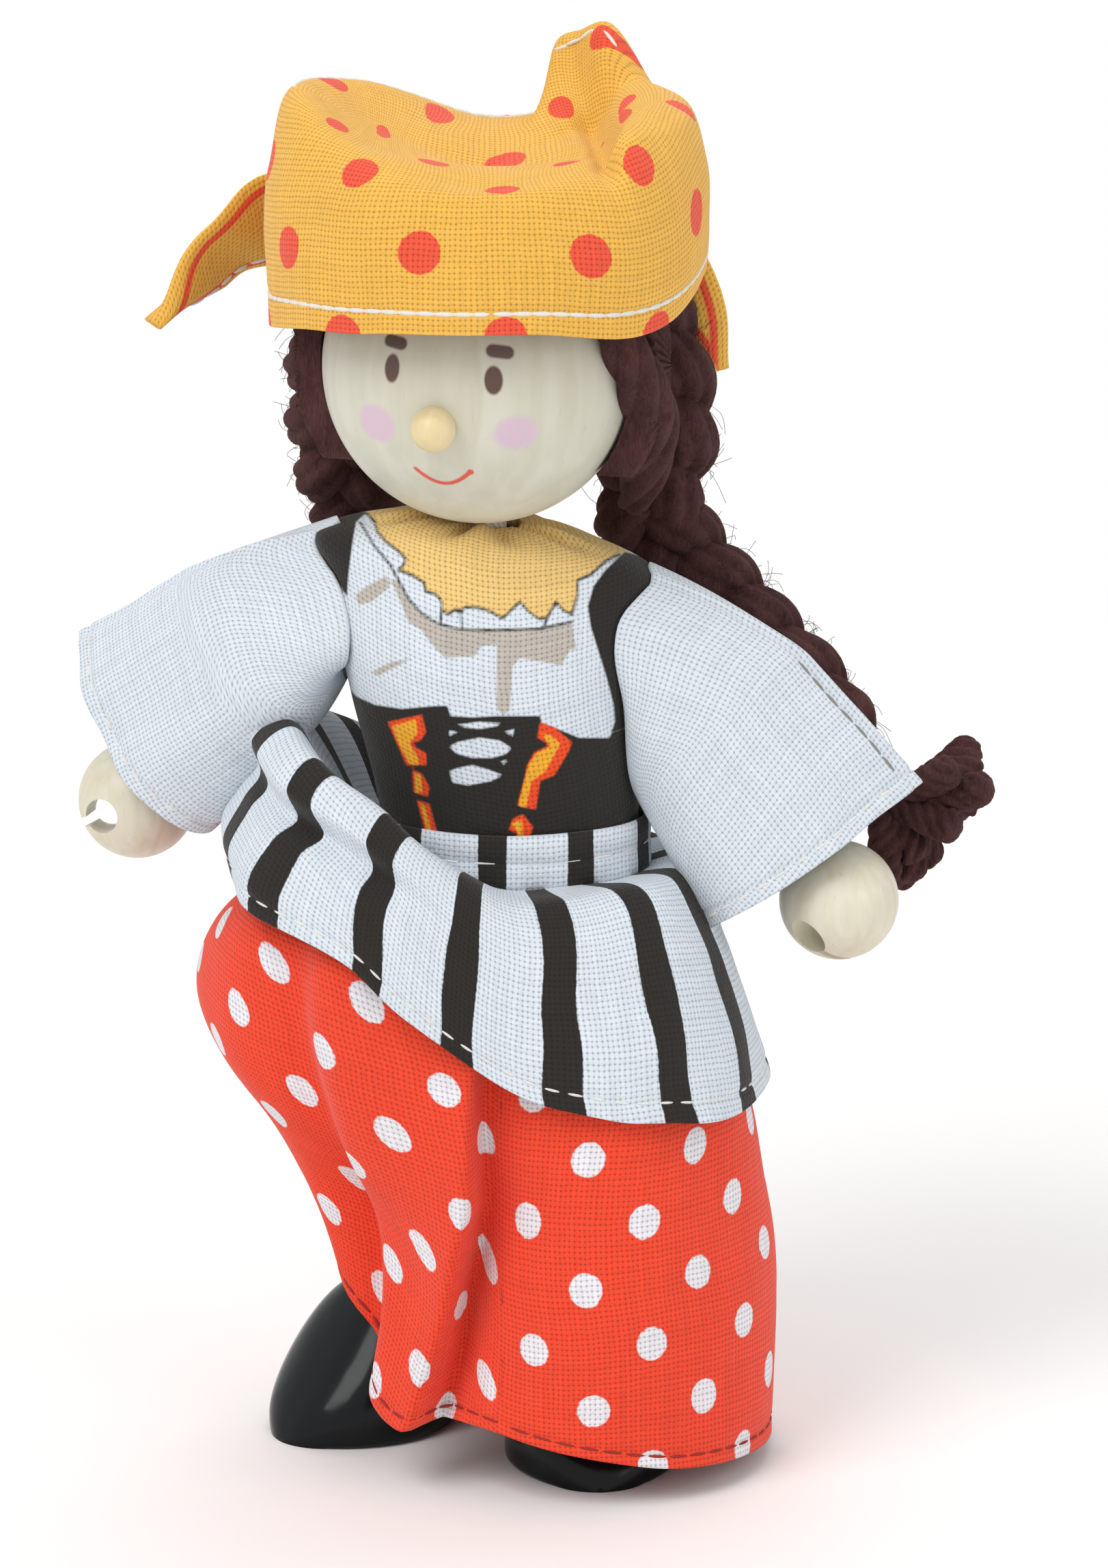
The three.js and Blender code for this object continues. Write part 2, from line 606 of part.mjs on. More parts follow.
// Cloth round a centre from profiles in eight directions, each a list of [out, height] from the top down.
function profiledRings(centre, profiles, rows, sides, fold, lift = () => 0) {
  const rings = [];
  for (let row = 0; row <= rows; row++) {
    const t = row / rows;
    const out = profiles.map((profile) => alongKeys(profile.map((key) => key[0]), t));
    const height = profiles.map((profile) => alongKeys(profile.map((key) => key[1]), t));
    const ring = [];
    for (let i = 0; i < sides; i++) {
      const turn = i / sides;
      const point = outward(turn).multiplyScalar(aroundBody(out, turn) + fold(turn, t)).add(centre);
      point.z = Math.max(aroundBody(height, turn) + lift(turn, t), skirtHemHeight);
      ring.push(point);
    }
    rings.push(ring);
  }
  return rings;
}

// One fold: a ridge, or a valley where its depth is negative, centred on a turn and fading in down the cloth
const ridge = (turn, centre, width, depth) => {
  const away = ((((turn - centre) % 1) + 1.5) % 1) - 0.5;
  return depth * Math.exp(-((away / width) ** 2));
};

// Skirt: dotted cotton gathered at the waist. It is pushed out in a puff at the doll's right hip, where its
// hem is caught up, and falls to the ground at the front and left. Heights are above the waist.
const drop = (out, down) => [out, waist.z - down];
const floorDrop = waist.z - skirtHemHeight;
const skirtProfiles = [
  [drop(6.4, 4.8), drop(12.3, 9), drop(13.6, 19), drop(13.2, 32), drop(13.8, floorDrop - 3.4)],
  [drop(7.2, 4.8), drop(16.8, 6.5), drop(15.2, 20), drop(11.4, 29), drop(12.6, floorDrop - 4.6)],
  [drop(8, 4.8), drop(18.2, 6), drop(21.6, 12.5), drop(17.6, 19.5), drop(11.4, 23.5)],
  [drop(7.2, 4.8), drop(15, 6.5), drop(17.5, 14), drop(15.5, 24), drop(14, 33)],
  [drop(6.4, 4.8), drop(11.2, 8.5), drop(14, 20), drop(15, 32), drop(15.6, floorDrop - 2.4)],
  [drop(7.2, 4.8), drop(12.4, 8.5), drop(15.2, 20), drop(16.6, 32), drop(17.4, floorDrop - 1.2)],
  [drop(8, 4.8), drop(13.2, 9), drop(17.3, 20), drop(19.4, 32), drop(19.2, floorDrop - 0.8)],
  [drop(7.2, 4.8), drop(13.8, 9), drop(16.8, 20), drop(18.2, 32), drop(18.4, floorDrop)],
];
const skirtFold = (turn, t) => {
  const lower = Math.min(1, t * 1.4);
  return lower * (ridge(turn, 0.04, 0.025, 1.5) + ridge(turn, 0.99, 0.022, -2) + ridge(turn, 0.93, 0.05, 0.5)
    + ridge(turn, 0.15, 0.02, -1.7) + ridge(turn, 0.19, 0.024, 0.8)
    + ridge(turn, 0.46, 0.035, -1.2) + ridge(turn, 0.54, 0.04, 1) + ridge(turn, 0.62, 0.03, -1.1));
};
const skirtRings = profiledRings(bodyCentre, skirtProfiles, 14, 36, skirtFold);
const skirt = solid(clothShell(skirtRings, clothWall));
add("skirt", geometryOf(skirt), colours.red, 0.9);
const skirtRoom = roomAround(skirtRings, gap);

// Waistband: the striped band that the overskirt hangs from, lapped over the bodice's lower edge
const bandHeight = 4.2;
const bandRise = 0.6;
const bandRings = [0, 1].map((t) => {
  const ring = [];
  for (let i = 0; i < clothSides; i++) {
    const direction = outward(i / clothSides);
    const half = vec(9.2 + gap + clothWall, 7 + gap + clothWall, 0);
    const height = waist.z + bandRise - t * bandHeight;
    const point = direction.multiply(half).add(vec(waist.x + 0.6, waist.y - 0.4, height));
    ring.push(point);
  }
  return ring;
});
let band = solid(clothShell(bandRings, clothWall)).subtract(bodiceRoom);
for (const side of ["right", "left"]) {
  band = band.subtract(sleeveRoom[side]);
}
const bandRoom = roomAround(bandRings, gap);
add("waistband", geometryOf(largest(band)), colours.white, 0.9);

// Overskirt: shorter striped cotton, puffed over below its band. It is bunched up under the right arm, and
// its hem slants down to the doll's left.
const overskirtProfiles = [
  [drop(9, 3.9), drop(11.6, 2.8), drop(13.8, 5.2), drop(14.8, 10), drop(15.4, 15.2)],
  [drop(10.2, 3.6), drop(12.2, -2.2), drop(14.6, -4.6), drop(16.6, -3), drop(15.8, -0.8), drop(17.6, 0.4),
    drop(19, 3), drop(19.4, 5.4)],
  [drop(11, 3.6), drop(12.6, -4.5), drop(15, -8), drop(17.6, -6.6), drop(17.2, -4), drop(18.2, -2.2),
    drop(19.6, 0.6), drop(19.2, 3.2)],
  [drop(10.2, 3.6), drop(11.8, -2), drop(14, -4.2), drop(16, -3), drop(16.4, 0.5), drop(17.6, 6)],
  [drop(9, 3.9), drop(11.6, 3.2), drop(13.4, 8), drop(14.8, 14.5)],
  [drop(10.2, 3.9), drop(12.4, 3.2), drop(14.8, 9), drop(16.2, 16.5)],
  [drop(11, 3.9), drop(13.6, 3), drop(15.6, 8.5), drop(17.6, 14), drop(18.8, 18.6)],
  [drop(10.2, 3.9), drop(13.2, 2.8), drop(15.6, 6), drop(17.4, 12), drop(18.6, 18.6)],
];
const overskirtFold = (turn, t) => t * (ridge(turn, 0.1, 0.02, -0.7) + ridge(turn, 0.17, 0.025, 0.8)
  + ridge(turn, 0.3, 0.03, 0.8) + ridge(turn, 0.86, 0.03, 0.5) + ridge(turn, 0.5, 0.04, 0.6));
const overskirtRings = profiledRings(bodyCentre, overskirtProfiles, 12, 30, overskirtFold);
let overskirt = solid(clothShell(overskirtRings, clothWall))
  .subtract(skirtRoom)
  .subtract(bodiceRoom)
  .subtract(bandRoom);
for (const side of ["right", "left"]) {
  overskirt = overskirt.subtract(sleeveRoom[side]).subtract(solid(ball(handRadius + gap, arms[side].hand)));
}
add("overskirt", geometryOf(largest(overskirt)), colours.white, 0.9);

// Bandana: a stiff cotton scarf over the head, standing up round a sunken top, with one corner sticking up at
// the back left. It is knotted behind, and its two ends stand away from the knot.
const scarfCentre = headCentre.clone().add(vec(0.7, 0.6, 0));
const scarfHem = headCentre.z + 5.6;
const scarfSeat = headCentre.z + hairRadius + gap + clothWall;
const scarfProfile = (hemRise, width, rimRise) => [
  [0.3, scarfSeat],
  [width * 0.5, scarfHem + scarfHeight - 1.4 + rimRise * 0.3],
  [width * 0.87, scarfHem + scarfHeight + rimRise],
  [width * 0.985, scarfHem + scarfHeight * 0.74],
  [width, scarfHem + scarfHeight * 0.38],
  [width * 0.99, scarfHem + hemRise],
];
const scarfProfiles = [
  scarfProfile(0.1, scarfHalfWidth, -1.6), scarfProfile(-0.3, scarfHalfWidth * 1.02, -0.2),
  scarfProfile(-0.6, scarfHalfWidth, 0.6), scarfProfile(-1.8, scarfHalfWidth * 0.99, 1),
  scarfProfile(-3, scarfHalfWidth * 0.95, -1.2), scarfProfile(-1.6, scarfHalfWidth * 0.99, 0.2),
  scarfProfile(0.8, scarfHalfWidth * 0.97, 0.3), scarfProfile(0.1, scarfHalfWidth, -0.4),
];
const scarfFold = (turn, t) => t
  * (ridge(turn, 0.42, 0.03, 0.6) + ridge(turn, 0.58, 0.03, 0.6) + ridge(turn, 0.9, 0.04, 0.3));
const cornerTurn = 0.59;
const cornerWidth = 0.042;
const scarfLift = (turn, t) => scarfCorner * Math.exp(-(((turn - cornerTurn) / cornerWidth) ** 4))
  * Math.exp(-(((t - 0.42) / 0.16) ** 2));
const scarfRings = profiledRings(scarfCentre, scarfProfiles, 11, 30, scarfFold, scarfLift);
const scarfInner = offsetRings(scarfRings, -clothWall);
const scarf = solid(skin([...scarfRings, ...scarfInner.reverse()]));
add("bandana", geometryOf(scarf), colours.scarf, 0.9);
const scarfRoom = solid(skin(offsetRings(scarfRings, gap)));

const knotRadius = 2.6;
const scarfBack = scarfHalfWidth * 0.95;
const knotCentre = scarfCentre.clone().add(vec(-0.4, scarfBack + gap + knotRadius * 0.62, 8));
const knot = new THREE.SphereGeometry(knotRadius, 12, 8).scale(1.25, 0.8, 1);
knot.translate(...knotCentre.toArray());
add("bandana_knot", geometryOf(solid(knot).subtract(scarfRoom)), colours.scarf, 0.9);
const knotRoom = solid(new THREE.SphereGeometry(knotRadius + gap, 12, 8).scale(1.25, 0.85, 1)
  .translate(...knotCentre.toArray()));

// A scarf end: a folded strip of cloth with lens-shaped sections, tapering to its tip
function scarfEnd(name, points, widths, upright) {
  const path = new THREE.CatmullRomCurve3(points, false, "centripetal");
  const rows = 9;
  const rings = [];
  for (let row = 0; row <= rows; row++) {
    const s = row / rows;
    const tangent = path.getTangentAt(s);
    const wide = upright.clone().addScaledVector(tangent, -upright.dot(tangent)).normalize();
    const thin = tangent.clone().cross(wide);
    const ring = [];
    for (let i = 0; i < 10; i++) {
      const angle = (2 * Math.PI * i) / 10;
      const point = path.getPointAt(s).addScaledVector(wide, alongKeys(widths, s) * Math.cos(angle));
      ring.push(point.addScaledVector(thin, clothWall * 1.4 * Math.sin(angle)));
    }
    rings.push(ring);
  }
  let strip = solid(skin(rings)).subtract(scarfRoom).subtract(knotRoom);
  for (const room of plaitRooms) {
    strip = strip.subtract(room);
  }
  add(name, geometryOf(largest(strip)), colours.scarf, 0.9);
}
const fromKnot = (x, y, z) => fromHead(x * scarfHalfWidth, y * scarfHalfWidth, z);
const leftTail = [fromKnot(-0.17, 1.12, 8.6), fromKnot(-0.56, 1.02, 8.8), fromKnot(-0.96, 0.8, 7.8),
  fromKnot(-1.22, 0.64, 5.4), fromKnot(-1.48, 0.48, 1.2)];
const rightTail = [fromKnot(0.24, 1.1, 8.6), fromKnot(0.54, 1, 7.6), fromKnot(0.83, 0.78, 5.4),
  fromKnot(1, 0.6, 1.6), fromKnot(1.08, 0.53, -2.2)];
scarfEnd("bandana_left_tail", leftTail, [1.4, 2.6, 3.6, 3, 0.35], vec(0.5, 0, 1));
scarfEnd("bandana_right_tail", rightTail, [1.4, 2.2, 2.6, 2, 0.6], vec(0.6, 0, 1));

// The whole doll is set down on its soles, with the origin under the middle of its box.
const box = new THREE.Box3().setFromObject(doll);
doll.position.set(-(box.min.x + box.max.x) / 2, -(box.min.y + box.max.y) / 2, 0);

export default doll;
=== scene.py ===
# A bendy doll, 10 cm tall: wooden ball head, wire limbs wound with thread, wooden hands and shoes,
# yarn plaits, and sewn cotton clothes. The doll faces -Y, and +X is its left.
import math
import random

import bpy
import numpy as np
from mathutils import Matrix, Vector, noise
from mathutils.kdtree import KDTree


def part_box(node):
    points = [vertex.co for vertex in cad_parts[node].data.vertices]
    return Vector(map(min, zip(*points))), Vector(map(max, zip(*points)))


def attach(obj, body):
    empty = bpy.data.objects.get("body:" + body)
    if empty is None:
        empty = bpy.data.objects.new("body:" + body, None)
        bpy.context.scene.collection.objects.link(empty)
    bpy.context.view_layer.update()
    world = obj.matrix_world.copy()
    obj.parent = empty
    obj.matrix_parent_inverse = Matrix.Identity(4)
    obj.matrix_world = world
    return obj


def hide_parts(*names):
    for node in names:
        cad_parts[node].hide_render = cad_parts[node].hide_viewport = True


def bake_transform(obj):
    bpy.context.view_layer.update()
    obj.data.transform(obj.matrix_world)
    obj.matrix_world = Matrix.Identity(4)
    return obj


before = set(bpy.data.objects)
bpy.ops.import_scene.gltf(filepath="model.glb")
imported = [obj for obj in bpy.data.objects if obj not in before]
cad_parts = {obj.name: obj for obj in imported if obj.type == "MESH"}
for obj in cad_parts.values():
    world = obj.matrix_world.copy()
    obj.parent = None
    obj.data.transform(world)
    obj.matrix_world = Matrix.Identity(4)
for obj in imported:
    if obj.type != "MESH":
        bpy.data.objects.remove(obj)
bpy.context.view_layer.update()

MM = 0.001

# The doll's own place in the frame: its head is a ball, so its centre shows how far the doll was shifted
# when it was set down on the middle of its box. All sizes below are millimetres about that place.
HEAD_RADIUS = 11
head_low, head_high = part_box("head_ball")
head_middle = (head_low + head_high) / 2 / MM
HEAD = Vector((-4.2, 3.6, head_high.z / MM - HEAD_RADIUS))
SHIFT = Vector((head_middle.x - HEAD.x, head_middle.y - HEAD.y, 0))
WAIST = Vector((-2.8, 5, HEAD.z - 32.7))


def place(point):
    """A point of the doll, in millimetres, as metres in the frame."""
    return (Vector(point) + SHIFT) * MM


# Camera: a long lens 60 cm away, level with the doll's middle and 15 degrees above the ground, as in the
# photograph, whose frame is 1622 by 2296 with 21 pixels to the millimetre at the doll.
AIM = place((0.86, 0, 50.1))
CAMERA_RISE = math.radians(15)
CAMERA_DISTANCE = 0.6
PIXELS_PER_MM = 21
PHOTO_HEIGHT = 2296
camera_data = bpy.data.cameras.new("camera")
camera_data.sensor_width = 36
camera_data.lens = PIXELS_PER_MM / MM * CAMERA_DISTANCE * camera_data.sensor_width / PHOTO_HEIGHT
camera_data.clip_start = 0.01
camera = bpy.data.objects.new("camera", camera_data)
bpy.context.scene.collection.objects.link(camera)
sight = Vector((0, math.cos(CAMERA_RISE), -math.sin(CAMERA_RISE)))
camera.location = AIM - sight * CAMERA_DISTANCE
camera.rotation_euler = sight.to_track_quat("-Z", "Y").to_euler()
bpy.context.scene.camera = camera
bpy.context.scene.view_settings.view_transform = "Standard"


def hex_colour(code):
    """An sRGB hex colour as the linear colour that the shaders take."""
    parts = [int(code[i:i + 2], 16) / 255 for i in (1, 3, 5)]
    linear = [c / 12.92 if c <= 0.04045 else ((c + 0.055) / 1.055) ** 2.4 for c in parts]
    return (*linear, 1.0)


def node(tree, kind, settings=None, **sockets):
    """Adds one node. Settings are its properties. A socket is a value or another node's output, and its
    name has _ for a space, or i0, i1 and so on for its place."""
    made = tree.nodes.new(kind)
    for key, value in (settings or {}).items():
        setattr(made, key, value)
    for key, value in sockets.items():
        name = int(key[1:]) if key[0] == "i" and key[1:].isdigit() else key.replace("_", " ")
        if isinstance(value, bpy.types.NodeSocket):
            tree.links.new(value, made.inputs[name])
        else:
            made.inputs[name].default_value = value
    return made


def new_material(name):
    """A new material, its tree and its shader, which is linked to the tree's output."""
    material = bpy.data.materials.new(name)
    material.use_nodes = True
    tree = material.node_tree
    tree.nodes.clear()
    shader = tree.nodes.new("ShaderNodeBsdfPrincipled")
    output = tree.nodes.new("ShaderNodeOutputMaterial")
    tree.links.new(shader.outputs[0], output.inputs["Surface"])
    return material, tree, shader


def math_node(tree, operation, a, b=0.0, c=0.0):
    return node(tree, "ShaderNodeMath", {"operation": operation}, i0=a, i1=b, i2=c).outputs[0]


def mix_colour(tree, factor, first, second):
    return node(tree, "ShaderNodeMix", {"data_type": "RGBA"}, i0=factor, i6=first, i7=second).outputs[2]


def vector_node(tree, operation, **sockets):
    made = node(tree, "ShaderNodeVectorMath", {"operation": operation}, **sockets)
    return made.outputs["Value" if operation == "LENGTH" else "Vector"]


def object_place(tree):
    return node(tree, "ShaderNodeTexCoord").outputs["Object"]


def remap(tree, value, **ends):
    """A value carried from one range to another, and kept inside it."""
    return node(tree, "ShaderNodeMapRange", {}, Value=value, **ends).outputs[0]


def set_surface(shader, **values):
    """Sets the shader's own sockets. A socket's name has _ for a space."""
    for name, value in values.items():
        shader.inputs[name.replace("_", " ")].default_value = value


# Floor and light: a pale studio table that fades to white, a large soft light above the camera's left, a
# weaker one at its right, and an even white surround.
bpy.ops.object.select_all(action="DESELECT")
bpy.ops.mesh.primitive_circle_add(vertices=96, radius=2.5, fill_type="NGON", location=(0, 0, 0))
floor = bpy.context.object
floor.name = "studio_floor"
material, tree, shader = new_material("matt_white_table")
here = object_place(tree)
away = vector_node(tree, "LENGTH", i0=here)
far = remap(tree, away, From_Min=0.06, From_Max=0.28)
seen = node(tree, "ShaderNodeLightPath")
camera_or_gloss = math_node(tree, "MAXIMUM", seen.outputs["Is Camera Ray"], seen.outputs["Is Glossy Ray"])
set_surface(shader, Base_Color=hex_colour("#F6F5F4"), Roughness=0.9)
white = node(tree, "ShaderNodeEmission", Color=(1, 1, 1, 1), Strength=1.0)
blend = node(tree, "ShaderNodeMixShader", i0=math_node(tree, "MULTIPLY", far, camera_or_gloss),
             i1=shader.outputs[0], i2=white.outputs[0])
tree.links.new(blend.outputs[0], tree.nodes["Material Output"].inputs["Surface"])
floor.data.materials.append(material)

world = bpy.data.worlds.new("white_surround")
bpy.context.scene.world = world
world.use_nodes = True
tree = world.node_tree
tree.nodes.clear()
seen = node(tree, "ShaderNodeLightPath")
direct = math_node(tree, "MAXIMUM", seen.outputs["Is Camera Ray"], seen.outputs["Is Glossy Ray"])
strength = remap(tree, direct, To_Min=0.62, To_Max=1.0)
surround = node(tree, "ShaderNodeBackground", Color=(1, 1, 1, 1), Strength=strength)
output = node(tree, "ShaderNodeOutputWorld", Surface=surround.outputs[0])


def soft_light(name, spot, size, watts):
    data = bpy.data.lights.new(name, "AREA")
    data.size = size
    data.energy = watts
    lamp = bpy.data.objects.new(name, data)
    bpy.context.scene.collection.objects.link(lamp)
    lamp.location = spot
    lamp.rotation_euler = (AIM - Vector(spot)).to_track_quat("-Z", "Y").to_euler()


soft_light("key_light", (-0.45, -0.5, 0.75), 0.5, 4.6)
soft_light("fill_light", (0.6, -0.45, 0.4), 0.6, 1.5)
soft_light("top_light", (0.05, 0.35, 0.8), 0.5, 1.8)


# Skirt: red plain-weave cotton printed with white dots, gathered at the waist and hemmed with dark red
# thread. It is pushed out in a puff at the doll's right hip, where its hem is caught up.
CLOTH_WALL = 0.55
GROUND = 1.2
THREADS_PER_MM = 2.7
SLUB_TONE = 0.2
UV_PER_MM = 0.01


def smooth_keys(values, place, periodic):
    """Smooth values between evenly spaced keys, at places counted in keys."""
    values = np.asarray(values, float)
    last = len(values) if periodic else len(values) - 1
    place = np.mod(place, last) if periodic else np.clip(place, 0, last)
    first = np.minimum(np.floor(place).astype(int), last - 1)
    t = place - first

    def key(k):
        index = np.mod(first + k, last) if periodic else np.clip(first + k, 0, last)
        return values[index]

    a, b, c, d = key(-1), key(0), key(1), key(2)
    return b + 0.5 * t * (c - a + t * (2 * a - 5 * b + 4 * c - d + t * (3 * (b - c) + d - a)))


def drop(out, down):
    """A key of a cloth's profile: how far out from the body's middle, and how far below the waist."""
    return (out, WAIST.z - down)


def eased(share):
    """A share from 0 to 1 that sets off and arrives softly."""
    return share * share * (3 - 2 * share)


def bell(away, width):
    return np.exp(-((away / width) ** 2))


def full_turn(steps):
    """Evenly spaced angles round one turn, its end included."""
    return np.arange(steps + 1) / steps * 2 * math.pi


def ridge(turn, centre, width, depth):
    """A fold down the cloth: a ridge, or a valley where its depth is negative."""
    away = np.mod(turn - centre + 0.5, 1) - 0.5
    return depth * bell(away, width)


def hang(profiles, rows, columns, fold, lift=None, centre=(WAIST.x, WAIST.y)):
    """Places of a cloth hung round a centre, from profiles in eight directions that start at the front and
    go by the doll's right. Returns points by row and column, with the seam column twice."""
    turn, t = np.meshgrid(np.arange(columns + 1) / columns, np.arange(rows + 1) / rows)
    keys = np.array([[smooth_keys([key[axis] for key in profile], t[:, 0] * (len(profile) - 1), False)
                      for profile in profiles] for axis in (0, 1)])
    out = np.array([smooth_keys(keys[0][:, row], turn[row] * 8, True) for row in range(rows + 1)])
    height = np.array([smooth_keys(keys[1][:, row], turn[row] * 8, True) for row in range(rows + 1)])
    out = out + fold(turn, t)
    if lift:
        height = height + lift(turn, t)
    angle = 2 * math.pi * turn
    x = centre[0] - np.sin(angle) * out
    y = centre[1] - np.cos(angle) * out
    return np.stack([x, y, np.maximum(height, GROUND)], axis=-1)


# The noise would start from the clock without its seed, and each run would give another cloth.
CLOTH_NOISE_SEED = 1795828165
noise.seed_set(CLOTH_NOISE_SEED)


def roughen(points, scale, depth, shift):
    """Moves points of a cloth a little by smooth noise, so that it isn't machine-true. The shift picks
    another part of the noise for each cloth."""
    moved = points.copy()
    for row in range(points.shape[0]):
        for column in range(points.shape[1]):
            wrapped = points[row, column if column < points.shape[1] - 1 else 0]
            spot = Vector(wrapped) / scale + Vector((shift, 2 * shift, 0))
            moved[row, column] += np.array(noise.noise_vector(spot)) * depth
    return moved


def arc_lengths(points, axis):
    """Distance along the cloth from its first row or column."""
    steps = np.linalg.norm(np.diff(points, axis=axis), axis=-1)
    start = np.zeros_like(np.take(steps, [0], axis=axis))
    return np.concatenate([start, np.cumsum(steps, axis=axis)], axis=axis)


def places_along(path, reach, at):
    """Places on a path at some distances along it, from the distances of its own points."""
    return np.stack([np.interp(at, reach, path[:, axis]) for axis in range(3)], axis=-1)


def select_all_of(piece, mode="EDIT"):
    bpy.ops.object.select_all(action="DESELECT")
    piece.select_set(True)
    bpy.context.view_layer.objects.active = piece
    if mode == "EDIT":
        bpy.ops.object.mode_set(mode="EDIT")
        bpy.ops.mesh.select_all(action="SELECT")


def apply_modifier(piece, kind, **settings):
    select_all_of(piece, "OBJECT")
    modifier = piece.modifiers.new(kind.lower(), kind)
    for key, value in settings.items():
        setattr(modifier, key, value)
    bpy.ops.object.modifier_apply(modifier=modifier.name)


def cut_by(piece, cutter):
    apply_modifier(piece, "BOOLEAN", operation="DIFFERENCE", solver="EXACT", object=cutter)
    bpy.data.objects.remove(cutter)


def sew(name, points, wall, gathered=False):
    """Makes a cloth piece from points by row and column: a grid is added, each of its corners is moved to
    its place, its seam is merged, and it gets its thickness. Its UV map holds real lengths along the cloth,
    both ways from the front, so that the map's seam lies behind."""
    rows, columns = points.shape[0] - 1, points.shape[1] - 1
    bpy.ops.object.select_all(action="DESELECT")
    bpy.ops.mesh.primitive_grid_add(x_subdivisions=columns, y_subdivisions=rows, size=1)
    piece = bpy.context.object
    piece.name = name
    piece.data.name = name
    flat = (points.reshape(-1, 3) + np.array(SHIFT)) * MM
    piece.data.vertices.foreach_set("co", flat.ravel())
    across = arc_lengths(points, 1)
    if gathered:
        across = np.broadcast_to(across[len(across) * 2 // 3], across.shape)
    down = arc_lengths(points, 0)
    down = 0.5 * down + 0.5 * down.mean(axis=1, keepdims=True)
    lengths = np.stack([across, down], axis=-1).reshape(-1, 2) * UV_PER_MM
    round_once = np.repeat(across[:, -1:], columns + 1, axis=1).reshape(-1) * UV_PER_MM
    corners = np.empty(len(piece.data.loops), int)
    piece.data.loops.foreach_get("vertex_index", corners)
    behind = np.repeat((corners % (columns + 1)).reshape(-1, 4).min(axis=1) >= columns // 2, 4)
    piece.data.uv_layers[0].name = "cloth"
    laid = lengths[corners]
    laid[:, 0] -= np.where(behind, round_once[corners], 0)
    piece.data.uv_layers["cloth"].data.foreach_set("uv", laid.ravel())
    piece.data.update()
    select_all_of(piece)
    bpy.ops.mesh.remove_doubles(threshold=1e-6)
    bpy.ops.object.mode_set(mode="OBJECT")
    middle = sum((vertex.co for vertex in piece.data.vertices), Vector()) / len(piece.data.vertices)
    facing = sum((face.center - middle).dot(face.normal) for face in piece.data.polygons)
    if facing < 0:
        select_all_of(piece)
        bpy.ops.mesh.flip_normals()
        bpy.ops.object.mode_set(mode="OBJECT")
    apply_modifier(piece, "SOLIDIFY", thickness=wall * MM, offset=-1, use_quality_normals=True)
    select_all_of(piece, "OBJECT")
    bpy.ops.object.shade_smooth()
    return piece


def noise_at(tree, place_of, scale, detail, **more):
    made = node(tree, "ShaderNodeTexNoise", {}, Vector=place_of, Scale=scale, Detail=detail, **more)
    return made.outputs["Fac"]


def add_bumps(tree, shader, strength, distance, height):
    """Bumps the surface, by a distance in millimetres."""
    bumps = node(tree, "ShaderNodeBump", {}, Strength=strength, Distance=distance * MM, Height=height)
    tree.links.new(bumps.outputs[0], shader.inputs["Normal"])
    return bumps.outputs[0]


def woven_cotton(name, colour_of):
    """Plain-weave cotton: matt, with round threads that cross over and under, and uneven slubs. The small
    holes and furrows between the threads are painted darker, as painted shade. colour_of takes the tree and
    the cloth's place in millimetres, and gives its print."""
    material, tree, shader = new_material(name)
    uv = node(tree, "ShaderNodeUVMap", {"uv_map": "cloth"}).outputs[0]
    lengths = vector_node(tree, "SCALE", i0=uv, Scale=1 / UV_PER_MM)
    wobble = node(tree, "ShaderNodeTexNoise", {}, Vector=lengths, Scale=0.9, Detail=2.0).outputs["Color"]
    shaken = vector_node(tree, "MULTIPLY_ADD", i0=wobble, i1=(0.22, 0.22, 0), i2=lengths)
    apart = node(tree, "ShaderNodeSeparateXYZ", {}, Vector=shaken)
    turns = [math_node(tree, "MULTIPLY", apart.outputs[axis], math.pi * THREADS_PER_MM) for axis in (0, 1)]
    waves = [math_node(tree, "SINE", turned) for turned in turns]
    crossing = math_node(tree, "MULTIPLY", waves[0], waves[1])
    round_threads = math_node(tree, "POWER", math_node(tree, "ABSOLUTE", crossing), 0.45)
    gaps = [math_node(tree, "SUBTRACT", 1.0, math_node(tree, "ABSOLUTE", wave)) for wave in waves]
    opening = math_node(tree, "MULTIPLY", gaps[0], gaps[1])
    between = math_node(tree, "MAXIMUM", gaps[0], gaps[1])
    height = math_node(tree, "MULTIPLY_ADD", crossing, 0.35, round_threads)
    stretch = [vector_node(tree, "MULTIPLY", i0=lengths, i1=along)
               for along in ((THREADS_PER_MM, 0.12, 1), (0.12, THREADS_PER_MM, 1))]
    uneven = [noise_at(tree, one, 1.0, 1.0) for one in stretch]
    slubs = math_node(tree, "ADD", uneven[0], uneven[1])
    colour = colour_of(tree, lengths)
    # Painted shade: the colour is darkened where the threads part, in the open holes between crossings and in
    # the furrows between threads. The slubs' tone below is the cotton's own.
    open_here = remap(tree, opening, From_Min=0.12, From_Max=0.62)
    furrow_shade = math_node(tree, "MULTIPLY", math_node(tree, "POWER", between, 3.0), 0.12)
    hole = math_node(tree, "SUBTRACT", math_node(tree, "MULTIPLY_ADD", open_here, -0.42, 1.04), furrow_shade)
    tone = math_node(tree, "MULTIPLY_ADD", slubs, SLUB_TONE, 1 - SLUB_TONE)
    shade = math_node(tree, "MULTIPLY", hole, tone)
    shaded = vector_node(tree, "SCALE", i0=colour, Scale=shade)
    tree.links.new(shaded, shader.inputs["Base Color"])
    set_surface(shader, Roughness=0.88, Specular_IOR_Level=0.25, Sheen_Weight=0.12, Sheen_Roughness=0.5)
    crumpled = noise_at(tree, lengths, 0.24, 3.0)
    woven = math_node(tree, "MULTIPLY_ADD", crumpled, 7.0, height)
    raised = math_node(tree, "MULTIPLY_ADD", slubs, 0.5, woven)
    add_bumps(tree, shader, 0.34, 0.12, raised)
    return material


